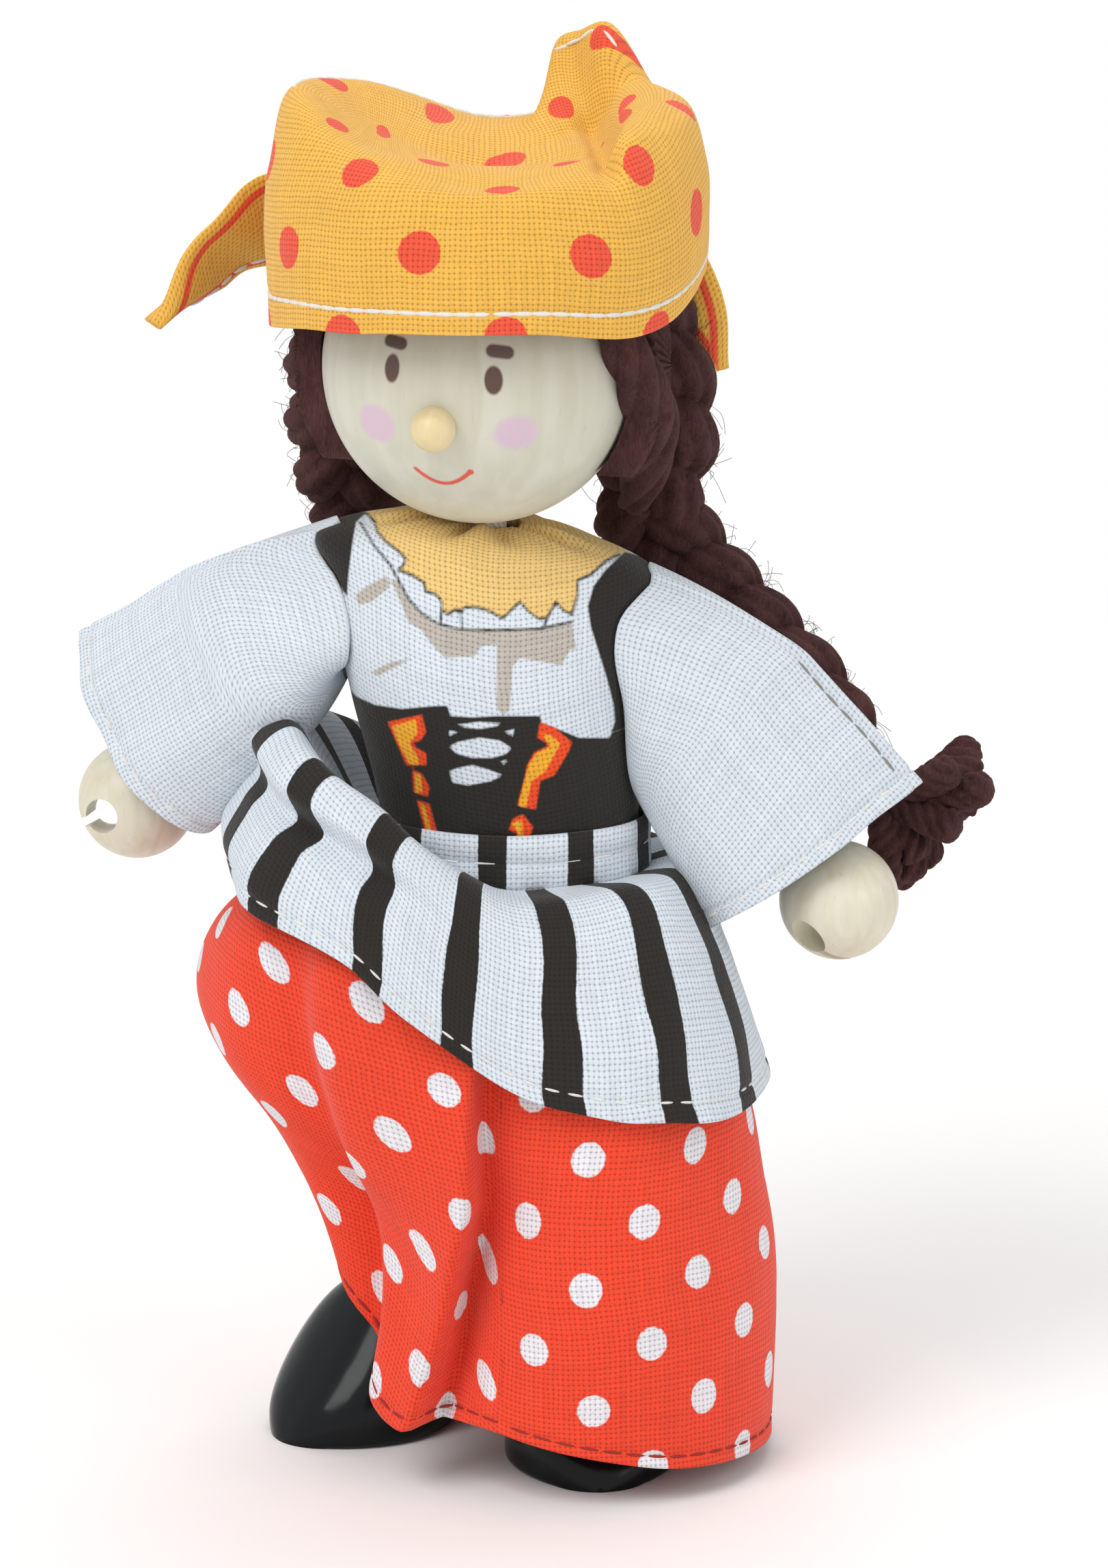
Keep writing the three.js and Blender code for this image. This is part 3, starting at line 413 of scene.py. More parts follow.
def printed_dots(tree, lengths, ground, ink, pitch, radius, start=(0, 0)):
    """Dots on two square grids, one halfway between the other's, with a soft printed edge."""
    places = []
    for offset in (0, 0.5):
        moved = vector_node(tree, "MULTIPLY_ADD", i0=lengths,
                     i1=(1 / pitch, 1 / pitch, 0), i2=(offset + start[0], offset + start[1], 0))
        cell = vector_node(tree, "FRACTION", i0=moved)
        centred = vector_node(tree, "SUBTRACT", i0=cell, i1=(0.5, 0.5, 0))
        places.append(vector_node(tree, "LENGTH", i0=centred))
    nearest = math_node(tree, "MULTIPLY", math_node(tree, "MINIMUM", places[0], places[1]), pitch)
    ragged = noise_at(tree, lengths, 2.2, 2.0)
    edge = math_node(tree, "MULTIPLY_ADD", ragged, 0.24, nearest)
    inked = remap(tree, edge, From_Min=radius + 0.17, From_Max=radius + 0.06)
    return mix_colour(tree, inked, ground, ink)


# Profiles of the skirt, the same as the solid's: [out, down] from the waistband to the hem.
FLOOR_DROP = WAIST.z - GROUND
SKIRT = [[drop(*key) for key in profile] for profile in (
    [(6.4, 4.8), (12.3, 9), (13.6, 19), (13.2, 32), (13.8, FLOOR_DROP - 4.2)],
    [(7.2, 4.8), (16.8, 6.5), (15.2, 20), (11.4, 29), (12.6, FLOOR_DROP - 5.2)],
    [(8, 4.8), (18.2, 6), (21.6, 12.5), (17.6, 19.5), (11.4, 23.5)],
    [(7.2, 4.8), (15, 6.5), (17.5, 14), (15.5, 24), (14, 33)],
    [(6.4, 4.8), (11.2, 8.5), (14, 20), (15, 32), (15.6, FLOOR_DROP - 2.4)],
    [(7.2, 4.8), (12.4, 8.5), (15.2, 20), (16.6, 32), (17.4, FLOOR_DROP - 1.2)],
    [(8, 4.8), (13.2, 9), (17.3, 20), (19.4, 32), (19.2, FLOOR_DROP)],
    [(7.2, 4.8), (13.8, 9), (16.8, 20), (18.2, 32), (18.4, FLOOR_DROP - 1.4)])]
HEM_LINE = 0.965
SKIRT_ROWS, SKIRT_HEM_ROW = 130, 126


def skirt_fold(turn, t):
    """The skirt's hanging folds: a sharp one left of the front, the tucks in the puff, and loose ones
    behind."""
    lower = np.minimum(1, t * 1.4)
    edge = np.interp(t, (0.2, 0.45, 0.62, 0.82, 1), (0.003, 0.022, 0.024, 0.052, 0.075))
    past = np.mod(turn - edge + 0.5, 1) - 0.5
    valley = (2.8 + 1.2 * np.sin(math.pi * t)) * bell(np.minimum(past, 0), 0.042)
    beside = 0.8 * bell(past + 0.11, 0.04)
    lapped = np.where(past > 0, 2 * np.exp(-past / 0.05), beside - valley) * np.tanh(np.abs(past) / 0.004)
    pocket = ridge(turn, 0.115, 0.026, 1.6) * bell(t - 0.38, 0.15)
    folds = (lapped * np.clip((t - 0.15) * 4, 0, 1) + pocket
             + ridge(turn, 0.152, 0.016, -2.1) + ridge(turn, 0.19, 0.024, 0.8)
             + ridge(turn, 0.46, 0.035, -1.2) + ridge(turn, 0.54, 0.04, 1) + ridge(turn, 0.62, 0.03, -1.1))
    stitched = -0.16 * bell(t - HEM_LINE, 0.008)
    return lower * folds + stitched


skirt_points = roughen(hang(SKIRT, SKIRT_ROWS, 220, skirt_fold), 7, 0.3, 3)
skirt = sew("dotted_skirt", skirt_points, CLOTH_WALL)
skirt.data.materials.append(woven_cotton("red_dotted_cotton", lambda tree, lengths: printed_dots(
    tree, lengths, hex_colour("#E8452B"), hex_colour("#E2DFE4"), 8.7, 1.18, (0.31, 0.2))))


def stitch_row(name, path, colour, stitch=1.1, space=0.55, radius=0.11, closed=False):
    """Running stitches along a path of points in millimetres: one small rounded thread, copied along it."""
    path = np.asarray(path, float)
    if closed:
        path = np.vstack([path, path[:1]])
    reach = arc_lengths(path, 0)
    bpy.ops.object.select_all(action="DESELECT")
    bpy.ops.mesh.primitive_uv_sphere_add(segments=6, ring_count=5, radius=1)
    piece = bpy.context.object
    piece.name = name
    ball = np.array([vertex.co[:] for vertex in piece.data.vertices])
    faces = [list(face.vertices) for face in piece.data.polygons]
    corners, loops = [], []
    for start in np.arange(space, reach[-1] - stitch, stitch + space):
        first_end, last_end = places_along(path, reach, start), places_along(path, reach, start + stitch)
        middle, run = (first_end + last_end) / 2, last_end - first_end
        turned = Vector(run).to_track_quat("Z", "X").to_matrix()
        sized = ball * np.array([radius, radius, np.linalg.norm(run) / 2])
        first = len(corners) * len(ball)
        corners.append(sized @ np.array(turned).T + middle)
        loops += [[first + index for index in face] for face in faces]
    mesh = bpy.data.meshes.new(name)
    mesh.from_pydata(((np.vstack(corners) + np.array(SHIFT)) * MM).tolist(), [], loops)
    piece.data = mesh
    mesh.materials.append(colour)
    select_all_of(piece, "OBJECT")
    bpy.ops.object.shade_smooth()
    return piece


def colour_between(tree, shader, share, first, second):
    """Colours the surface from one hex colour to another, by a share."""
    colour = mix_colour(tree, share, hex_colour(first), hex_colour(second))
    tree.links.new(colour, shader.inputs["Base Color"])


def sewing_thread(name, code):
    """Spun cotton sewing thread: matt with a faint twist."""
    material, tree, shader = new_material(name)
    here = object_place(tree)
    twist = noise_at(tree, here, 9 / MM, 1.0)
    dark = tuple(part * 0.72 for part in hex_colour(code)[:3]) + (1.0,)
    tree.links.new(mix_colour(tree, twist, dark, hex_colour(code)), shader.inputs["Base Color"])
    set_surface(shader, Roughness=0.8)
    return material


skirt_hem = stitch_row("skirt_hem_stitches", skirt_points[SKIRT_HEM_ROW, :-1],
                       sewing_thread("dark_red_thread", "#A02A20"), 1.5, 0.2, 0.13, closed=True)


skirt_middle = place(WAIST)


def follow_the_legs(piece, stands_for=None):
    """Cuts a skirt piece at the body's middle into two halves, each closed along its cut, with the cut's edge
    marked sharp."""
    halves = []
    for side, sign in (("right", -1), ("left", 1)):
        select_all_of(piece, "OBJECT")
        bpy.ops.object.duplicate()
        half = bpy.context.object
        half.name = f"{piece.name}_{side}"
        half.data.name = half.name
        select_all_of(half)
        bpy.ops.mesh.bisect(plane_co=skirt_middle, plane_no=(sign, 0, 0), use_fill=True, clear_inner=True)
        bpy.ops.mesh.region_to_loop()
        bpy.ops.mesh.mark_sharp()
        bpy.ops.object.mode_set(mode="OBJECT")
        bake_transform(half)
        if stands_for:
            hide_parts(stands_for)
        halves.append(half)
    bpy.data.objects.remove(piece)
    return halves


skirt_halves = follow_the_legs(skirt, "skirt")
skirt_stitches = follow_the_legs(skirt_hem)


# Bodice: blouse and corset in one, cut from printed cotton and filled out by the chest. The print is a yellow
# chest, a white bust with grey shading, black straps, and a laced corset with gold and orange trims.
SHOULDERS = {"right": Vector((-15.2, 4.2, 62.9)), "left": Vector((7.6, 4.2, 60.7))}
SHOULDER_SPREAD, SHOULDER_TILT = 11.4, 1.1
BODICE_WALL = 0.6
WHITE_CLOTH = "#D0D8E0"
BLACK_PRINT = "#26231F"
BODICE_LENGTH = 23.5
ARMHOLE_RADIUS = 3.4
SHARE = [0, 0.2, 0.42, 0.6, 0.78, 0.9, 0.97, 1]
HALF_WIDTH = [8.8, 9.3, 9.9, 10.5, 11.2, 11.8, 7.6, 2.3]
HALF_DEPTH = [6.6, 7.2, 7.9, 8.1, 7, 5.8, 4.8, 2.3]
SIDE_SHIFT = [0.8, 0.3, -0.5, -0.9, -1, -1, -0.9, -0.9]


def bodice_surface(rows, columns):
    """Rows of points from the neck down to the waist."""
    turn, t = np.meshgrid(full_turn(columns), 1 - np.arange(rows + 1) / rows)
    keys = {name: smooth_keys(values, t * 7, False) for name, values in
            (("share", SHARE), ("width", HALF_WIDTH), ("depth", HALF_DEPTH), ("shift", SIDE_SHIFT))}
    away = (-np.sin(turn), -np.cos(turn))
    x = np.sign(away[0]) * np.abs(away[0]) ** 0.9 * keys["width"]
    y = np.sign(away[1]) * np.abs(away[1]) ** 0.9 * keys["depth"]
    tilt = -SHOULDER_TILT * 1.4 * keys["share"] * x / SHOULDER_SPREAD
    gathers = 0.3 * np.sin(9 * turn + 0.6) + 0.2 * np.sin(14 * turn)
    by_the_neck = bell(t - 0.93, 0.06)
    height = WAIST.z - 2 + keys["share"] * BODICE_LENGTH + tilt + gathers * by_the_neck
    return np.stack([x + WAIST.x + keys["shift"], y + WAIST.y - 0.4, height], axis=-1)


def in_view(x, y, z):
    """Where points of the doll show in a view from the camera: millimetres right of the origin, and up."""
    return np.stack([x, z * math.cos(CAMERA_RISE) + y * math.sin(CAMERA_RISE)], axis=-1)


def outline_distance(points, outline, closed=True):
    """Distance from flat points to an outline in millimetres, negative inside it."""
    outline = np.asarray(outline, float)
    ends = np.roll(outline, -1, axis=0) if closed else outline[1:]
    starts = outline if closed else outline[:-1]
    nearest = np.full(len(points), 1e9)
    inside = np.zeros(len(points), bool)
    for start, end in zip(starts, ends):
        run, off = end - start, points - start
        share = np.clip(off @ run / max(run @ run, 1e-9), 0, 1)
        nearest = np.minimum(nearest, np.linalg.norm(off - share[:, None] * run, axis=1))
        if closed:
            crosses = (start[1] > points[:, 1]) != (end[1] > points[:, 1])
            rise = end[1] - start[1] if end[1] != start[1] else 1e-9
            at = start[0] + (points[:, 1] - start[1]) / rise * run[0]
            inside ^= crosses & (points[:, 0] < at)
    return np.where(inside, -nearest, nearest)


def store(mesh, name, values):
    """Keeps one number for each corner point of a mesh, for its material to read."""
    attribute = mesh.attributes.new(name, "FLOAT", "POINT")
    attribute.data.foreach_set("value", np.asarray(values, np.float32))


def read_attribute(tree, name):
    return node(tree, "ShaderNodeAttribute", {"attribute_name": name}).outputs["Fac"]


def painted(tree, ground, distance, colour, soft=0.08):
    """Lays a colour over the ground wherever a distance is below zero, with a soft edge."""
    inked = remap(tree, distance, From_Min=soft, From_Max=-soft)
    return mix_colour(tree, inked, ground, colour)


# Outlines of the print in millimetres, laid out as the front is seen from the camera. They are painted in
# the order of PAINT, each over what is under it.
PRINT = {
    "chest": [(-21.5, 68), (-14.4, 67.5), (-12.2, 67.3), (-11.6, 66.6), (-11.4, 65.9), (-10.8, 65.2),
        (-9.9, 64.5), (-9.4, 64), (-9.5, 63.6), (-9.9, 63.2), (-8.9, 62.8), (-8.1, 62.3), (-8, 61.7),
        (-7.3, 61.5), (-6.9, 61), (-6.9, 60.4), (-6.4, 60.1), (-5.9, 60.5), (-5.6, 60.2), (-5.3, 60.6),
        (-4.5, 60.6), (-3.5, 60.3), (-2.7, 59.8), (-2.1, 60.4), (-1.5, 61), (-1, 60.4), (-0.2, 59.8),
        (0.4, 59.9), (1, 61), (1.5, 60.4), (2.1, 60.1), (2.5, 61.5), (2.5, 62.5), (3.4, 62.9), (4.5, 63.9),
        (5.8, 64.6), (8.5, 65.3), (10, 77.3), (-21.5, 77.3)],
    "neckline": [(-12.6, 66.6), (-11.6, 64.9), (-10.5, 63.6), (-9.9, 62.5), (-9.2, 61.2), (-8.3, 60.2),
        (-7.2, 59.5), (-5.8, 59.1), (-4.2, 59), (-0.2, 59.1), (2.1, 59.6)],
    "frill_1": [(-6.9, 60.4), (-7, 59.4)],
    "frill_2": [(-5.6, 60.2), (-5.5, 59.1)],
    "frill_3": [(0.4, 59.9), (0.1, 59.1)],
    "left_strap": [(-16.2, 67.8), (-12.2, 67.4), (-12.9, 66.6), (-13.1, 65.1), (-13.4, 62.8), (-13.5, 61.4),
        (-14.3, 62.5), (-15.5, 63.7), (-16.3, 64.8), (-16.4, 66.1)],
    "right_strap": [(5.8, 64.6), (8.5, 64), (8.5, 62.1), (7, 61), (6.8, 59.6), (6.9, 57.7), (6.6, 56.3),
        (6.1, 55.2), (5.8, 53.6), (5.9, 52.3), (4.8, 51.9), (5.1, 52.7), (5, 53.9), (4.5, 55.8), (3.9, 57.7),
        (3.4, 59.3), (3.2, 60.7), (3.6, 62.1), (4.4, 63.2)],
    "corset_top": [(-40.5, 56.8), (-16.8, 56.5), (-13.6, 55.2), (-12.9, 54.5), (-11.6, 53.9), (-9.7, 53.6),
        (-7.3, 53.8), (-6.5, 53.8), (-6.3, 53.1), (-4.8, 53), (-3.1, 53.1), (-1.6, 53.1), (-0.1, 53.1),
        (0, 52.6), (0.9, 52.3), (2.6, 51.6), (4.7, 51.6), (4.9, 52), (5.9, 52.3), (10, 53.1), (33.7, 53.6),
        (33.7, 20.4), (-40.5, 20.4)],
    "lace_1": [(-5.8, 52.5), (-4.3, 52.7), (-2.8, 52.6), (-3.1, 52.4), (-4.3, 52.2), (-5.3, 52.3)],
    "lace_2": [(-6.4, 51), (-5.8, 51.3), (-4.3, 51.6), (-2.9, 51.4), (-2.1, 50.9), (-2.4, 50.5), (-3.4, 50.2),
        (-4.8, 50.2), (-5.9, 50.5)],
    "lace_3": [(-6.4, 49.3), (-5.8, 49.5), (-4.8, 49.7), (-3.7, 49.4), (-2.7, 49), (-3.5, 48.6), (-5.1, 48.3),
        (-6.2, 48.5)],
    "lace_4": [(-6.4, 52.1), (-5.8, 52), (-6.4, 51.7)],
    "lace_5": [(-1.9, 52.2), (-2.6, 52), (-2, 51.7)],
    "lace_6": [(-2.4, 50.1), (-2.9, 49.9), (-2.5, 49.7)],
    "trim_1": [(-10.7, 52.7), (-8.3, 53.2), (-8, 52), (-8.4, 51.4), (-9.1, 51.2), (-8.5, 50.8), (-8, 50.5),
        (-8, 49.7), (-9.4, 49.7), (-10, 51.1)],
    "trim_2": [(-9, 49.4), (-8.3, 49.1), (-7.8, 48.2), (-7.9, 47.5), (-8.9, 47.8)],
    "trim_3": [(-8.7, 47.3), (-7.8, 47), (-7.3, 45.1), (-7.4, 44.8), (-8.1, 45)],
    "trim_4": [(-0.1, 52.7), (0.9, 52.3), (2.1, 51.3), (1.9, 50.7), (0.9, 49), (-0.1, 48.6), (-0.4, 46.6),
        (-1.7, 46.9), (-1.2, 48.7), (-1, 49.7), (-0.5, 50.6), (0.6, 51.1), (-0.3, 51.6)],
    "trim_5": [(-2, 46), (-1.3, 46.3), (-0.6, 45.4), (-0.9, 44.4), (-1.2, 44), (-2.5, 44), (-1.6, 44.9),
        (-2.3, 45.2)],
    "gold_1": [(-10.4, 52.4), (-8.7, 52.9), (-8.6, 51.9), (-9.2, 51.2), (-8.6, 50.3), (-8.5, 49.7),
        (-9.2, 49.8), (-9.9, 51.1)],
    "gold_2": [(-8.8, 49.2), (-8.4, 49), (-8.3, 47.8), (-8.8, 47.8)],
    "gold_3": [(-8.5, 47.1), (-8.1, 46.8), (-7.7, 45.1), (-8, 45.2)],
    "gold_4": [(0, 51.9), (0.6, 51.8), (1.3, 51.2), (1, 50.6), (0.2, 49.2), (-0.7, 48.6), (-1.1, 46.7),
        (-1.6, 46.9), (-1.2, 48.6), (-0.9, 49.7), (-0.4, 50.5), (0.6, 51)],
    "gold_5": [(-2.1, 45.7), (-1.4, 45.9), (-1.3, 45.1), (-1.3, 44.6), (-2.3, 44.1), (-1.6, 44.9)],
    "shade_1": [(-10.7, 62.8), (-12.1, 62.1), (-12.9, 61.5), (-12.7, 60.8), (-11.8, 61), (-10.5, 62)],
    "shade_2": [(-10.5, 62.6), (-9.7, 60.9), (-9.2, 59.6), (-8.3, 59), (-7.3, 57.7), (-6.7, 57.1),
        (-4.6, 57.2), (-4.2, 57.9), (-3.1, 58), (-3.1, 53.6), (-2.6, 53.1), (-2.2, 53.6), (-2, 56.5),
        (-1.5, 57.1), (1.4, 56.6), (2, 57.7), (2.4, 57.7), (2.1, 59.5), (-0.2, 59.1), (-5.8, 59.1),
        (-7.2, 59.4), (-8.3, 60.2), (-9.2, 61.1), (-9.9, 62.4)],
    "shade_3": [(-11.9, 56.1), (-11.3, 55.9), (-8.9, 57.1), (-9.5, 57), (-10.5, 56.8)],
}
LINE_WIDTHS = {"neckline": 0.1, "frill": 0.1}
PAINT = {"shade": "#B4ADA4", "chest": "#E2BE78", "neckline": "#2A2624", "frill": "#2A2624",
         "left": BLACK_PRINT, "right": BLACK_PRINT, "corset": BLACK_PRINT, "lace": "#CFD6DE",
         "trim": "#E4491F", "gold": "#E6A42C"}
ALL_ROUND = ("chest", "left", "right", "corset")


def corset_print(tree, lengths):
    """The bodice's print, painted from the distances that its mesh holds."""
    colour = hex_colour(WHITE_CLOTH)
    for kind in PAINT:
        colour = painted(tree, colour, read_attribute(tree, kind), hex_colour(PAINT[kind]))
    return painted(tree, colour, read_attribute(tree, "frill_edge"), hex_colour(PAINT["frill"]))


def doll_points(piece):
    """A piece's corner points in the doll's own millimetres."""
    points = np.empty(len(piece.data.vertices) * 3)
    piece.data.vertices.foreach_get("co", points)
    return points.reshape(-1, 3) / MM - np.array(SHIFT)


bodice_points = roughen(bodice_surface(150, 300), 5, 0.12, 2)
bodice = sew("printed_bodice", bodice_points, BODICE_WALL)
points = doll_points(bodice)
flat = in_view(*points.T)
behind = np.where(points[:, 1] > WAIST.y + 1, 9.0, 0.0)
for kind in PAINT:
    nearest = np.full(len(points), 99.0)
    for name, outline in PRINT.items():
        if name.split("_")[0] == kind:
            line = kind in LINE_WIDTHS
            distance = outline_distance(flat, outline, closed=not line) - (LINE_WIDTHS[kind] if line else 0)
            nearest = np.minimum(nearest, distance)
    store(bodice.data, kind, nearest + (0 if kind in ALL_ROUND else behind))
frill_edge = np.abs(outline_distance(flat, PRINT["chest"])) - 0.1
store(bodice.data, "frill_edge", np.maximum(frill_edge, points[:, 0] - 5.5) + behind)
bodice.data.materials.append(woven_cotton("printed_cotton", corset_print))
for side in ("right", "left"):
    bpy.ops.object.select_all(action="DESELECT")
    bpy.ops.mesh.primitive_uv_sphere_add(segments=48, ring_count=24, radius=ARMHOLE_RADIUS * MM,
                                         location=place(SHOULDERS[side]))
    cut_by(bodice, bpy.context.object)
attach(bodice, "torso")
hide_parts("bodice")


# Overskirt: white cotton printed with black stripes, gathered into the waistband, bunched up in a roll at the
# doll's right hip, and hemmed with white thread.
OVERSKIRT_ROWS, OVERSKIRT_HEM = 110, 0.93


def stripes(tree, lengths, ground, ink, pitch, width, start=0.0, bend=0.5):
    """Printed stripes that run down the cloth."""
    bent = noise_at(tree, lengths, 0.12, 1.0)
    u = node(tree, "ShaderNodeSeparateXYZ", {}, Vector=lengths).outputs[0]
    run = math_node(tree, "MULTIPLY_ADD", bent, bend, math_node(tree, "ADD", u, start))
    cell = math_node(tree, "FRACT", math_node(tree, "DIVIDE", run, pitch))
    off_half = math_node(tree, "ABSOLUTE", math_node(tree, "SUBTRACT", cell, 0.5))
    off_middle = math_node(tree, "MULTIPLY", off_half, pitch)
    ragged = noise_at(tree, lengths, 3.0, 1.0)
    edge = math_node(tree, "MULTIPLY_ADD", ragged, 0.12, off_middle)
    inked = remap(tree, edge, From_Min=width / 2 + 0.1, From_Max=width / 2 + 0.02)
    return mix_colour(tree, inked, ground, ink)


OVERSKIRT = [[drop(*key) for key in profile] for profile in (
    [(7.4, 3.2), (11.6, 2.8), (13.8, 5.2), (14.8, 10), (15.4, 15.2)],
    [(8.4, 3.2), (12.2, -2.2), (14.6, -4.6), (16.6, -3), (15.8, -0.8), (17.6, 0.4), (19, 3), (19.4, 5.4)],
    [(8.6, 3.2), (12.6, -4.5), (15, -8), (17.6, -6.6), (17.2, -4), (18.2, -2.2), (19.6, 0.6), (19.2, 3.2)],
    [(8.4, 3.2), (11.8, -2), (14, -4.2), (16, -3), (16.4, 0.5), (17.6, 6)],
    [(7, 3.2), (11.6, 3.2), (13.4, 8), (14.8, 14.5)],
    [(8.8, 3.2), (12.4, 3.2), (14.8, 9), (16.2, 16.5)],
    [(9.8, 3.2), (13.6, 3), (15.6, 8.5), (17.6, 14), (18.8, 18.6)],
    [(9, 3.2), (13.2, 2.8), (15.6, 6), (17.4, 12), (18.6, 18.6)])]


def overskirt_fold(turn, t):
    """Soft folds that open towards the hem, and the groove that the hem's stitches pull in."""
    folds = (ridge(turn, 0.1, 0.02, -0.7) + ridge(turn, 0.17, 0.025, 0.8) + ridge(turn, 0.3, 0.03, 0.8)
             + ridge(turn, 0.86, 0.03, 0.5) + ridge(turn, 0.5, 0.04, 0.6))
    return t * folds - 0.14 * bell(t - OVERSKIRT_HEM, 0.015)


overskirt_points = roughen(hang(OVERSKIRT, OVERSKIRT_ROWS, 260, overskirt_fold), 5, 0.3, 8)
overskirt = sew("striped_overskirt", overskirt_points, CLOTH_WALL, gathered=True)
overskirt.data.materials.append(woven_cotton("striped_cotton", lambda tree, lengths: stripes(
    tree, lengths, hex_colour(WHITE_CLOTH), hex_colour(BLACK_PRINT), 7.5, 2.5, -0.25, 1.4)))
white_thread = sewing_thread("white_thread", "#EDEAE4")
overskirt_hem_row = overskirt_points[round(OVERSKIRT_HEM * OVERSKIRT_ROWS), :-1]
overskirt_hem = stitch_row("overskirt_hem_stitches", overskirt_hem_row, white_thread, closed=True)
overskirt_halves = follow_the_legs(overskirt, "overskirt")
overskirt_stitches = follow_the_legs(overskirt_hem)


# Waistband: a strip of the striped cotton round the waist, stitched along its middle.
BAND_HALF = (9.9, 7.7)
BAND_RISE, BAND_HEIGHT, BAND_GROOVE_RING = 0.6, 4.2, 4


def oval(centre, half_width, half_depth, height, steps):
    turn = full_turn(steps)
    return np.stack([centre[0] - np.sin(turn) * half_width, centre[1] - np.cos(turn) * half_depth,
                     np.full_like(turn, height)], axis=-1)


band_centre = (WAIST.x + 0.6, WAIST.y - 0.4)
band_rings = ((0, 0.3), (0.2, 0.05), (1.0, 0), (1.8, 0.04), (2.0, 0.14), (2.2, 0.04), (3.2, 0),
              (BAND_HEIGHT, 0))
band_points = np.stack([
    oval(band_centre, BAND_HALF[0] - pull, BAND_HALF[1] - pull, WAIST.z + BAND_RISE - down, 200)
    for down, pull in band_rings])
band = sew("stitched_waistband", roughen(band_points, 4, 0.1, 5), CLOTH_WALL)
band.data.materials.append(woven_cotton("striped_band_cotton", lambda tree, lengths: stripes(
    tree, lengths, hex_colour(WHITE_CLOTH), hex_colour(BLACK_PRINT), 6.3, 2.0, 1.8, 0.3)))
band_groove = band_points[BAND_GROOVE_RING, :-1]
band_stitches = stitch_row("waistband_stitches", band_groove, white_thread, 1.8, 0.9, closed=True)
for piece in (band, band_stitches):
    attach(piece, "torso")
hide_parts("waistband")


# Sleeves: bell sleeves of white cotton, wide and flattened at the cuffs, with a seam near the top. Each is
#  sewn to the bodice's side and turns down along its arm.
ARM_DIRECTIONS = {"right": Vector((-13.6, 8.6, -17.3)).normalized(),
                  "left": Vector((13.2, -2.4, -19.4)).normalized()}
UPPER_ARM, FOREARM, HAND_RADIUS = 11.5, 12.4, 4.2
SLEEVE_START, SLEEVE_RUN = 1, 19
SLEEVE_COLUMNS, SLEEVE_ROWS, CUFF_HEM = 180, 100, 0.94
SEAM_START_ROW, STITCHES_BESIDE_SEAM = 28, 6
CUFF_UP = {"right": Vector((-0.43, 0.63, 0.65)), "left": Vector((0.79, 0.22, 0.58))}
CUFF_LIFT = {"right": 3.2, "left": 0.4}
SEAM_TURN = {"right": -0.34, "left": 0.3}
ARMHOLE_HALF_HEIGHT, ARMHOLE_HALF_DEPTH = {"right": 5.4, "left": 4.6}, 4.6
ARMHOLE_INSET, ARMHOLE_SHARE = {"right": 1, "left": -1}, 0.38


def sleeve_points(side, angle, t):
    """Rows of points from the armhole to the cuff, with a raised seam at SEAM_TURN from the top."""
    reach = ARM_DIRECTIONS[side]
    up = (CUFF_UP[side] - reach * CUFF_UP[side].dot(reach)).normalized()
    across = reach.cross(up)
    half_width = 6.4 + (9.2 - 6.4) * t ** 0.8
    half_depth = 4.9 + (5.2 - 4.9) * t
    pinch = 1 - 0.22 * (0.5 + 0.5 * np.cos(angle)) ** 3 * t
    drape = 0.35 * t * np.cos(3 * angle + 0.8) + 0.25 * t * np.cos(7 * angle + 2.1)
    beside_seam = np.mod(angle - SEAM_TURN[side] + math.pi, 2 * math.pi) - math.pi
    seam = 0.3 * bell(beside_seam, 0.055) - 0.18 * bell(beside_seam - 0.12, 0.05)
    hem_groove = -0.14 * bell(t - CUFF_HEM, 0.012)
    swell = seam + hem_groove
    centre = SHOULDERS[side] + reach * SLEEVE_START
    along = (np.array(reach) * SLEEVE_RUN + np.array(up) * CUFF_LIFT[side])[None, None, :] * t[..., None]
    up_part = np.cos(angle) * (half_width + swell)
    across_part = np.sin(angle) * (half_depth * pinch + drape + swell)
    sleeve = (np.array(centre) + along + up_part[..., None] * np.array(up)
              + across_part[..., None] * np.array(across))
    depth = math.copysign(ARMHOLE_HALF_DEPTH, across.y) * np.sin(angle)
    height = ARMHOLE_HALF_HEIGHT[side] * np.cos(angle)
    inset = ARMHOLE_INSET[side] * (1 + 3.5 * np.sin(angle) ** 2)
    on_bodice = np.stack([inset, depth, height], axis=-1) + np.array(SHOULDERS[side])
    turned = eased(np.clip(t / ARMHOLE_SHARE, 0, 1))[..., None]
    return on_bodice * (1 - turned) + sleeve * turned


def inside_bodice(points, grow):
    """Which points lie in the bodice's filled shape, grown a little."""
    away = points - np.array((WAIST.x, WAIST.y - 0.4, WAIST.z - 2))
    share = away[..., 2] / (BODICE_LENGTH - SHOULDER_TILT * 1.4 * away[..., 0] / SHOULDER_SPREAD)
    steps = np.linspace(0, 1, 200)
    at = np.interp(share, smooth_keys(SHARE, steps * 7, False), steps * 7)
    shift, width, depth = (smooth_keys(values, at, False) for values in (SIDE_SHIFT, HALF_WIDTH, HALF_DEPTH))
    power = 2 / 0.9
    sideways = np.abs((away[..., 0] - shift) / (width + grow)) ** power
    forwards = np.abs(away[..., 1] / (depth + grow)) ** power
    return (sideways + forwards < 1) & (share < 1)


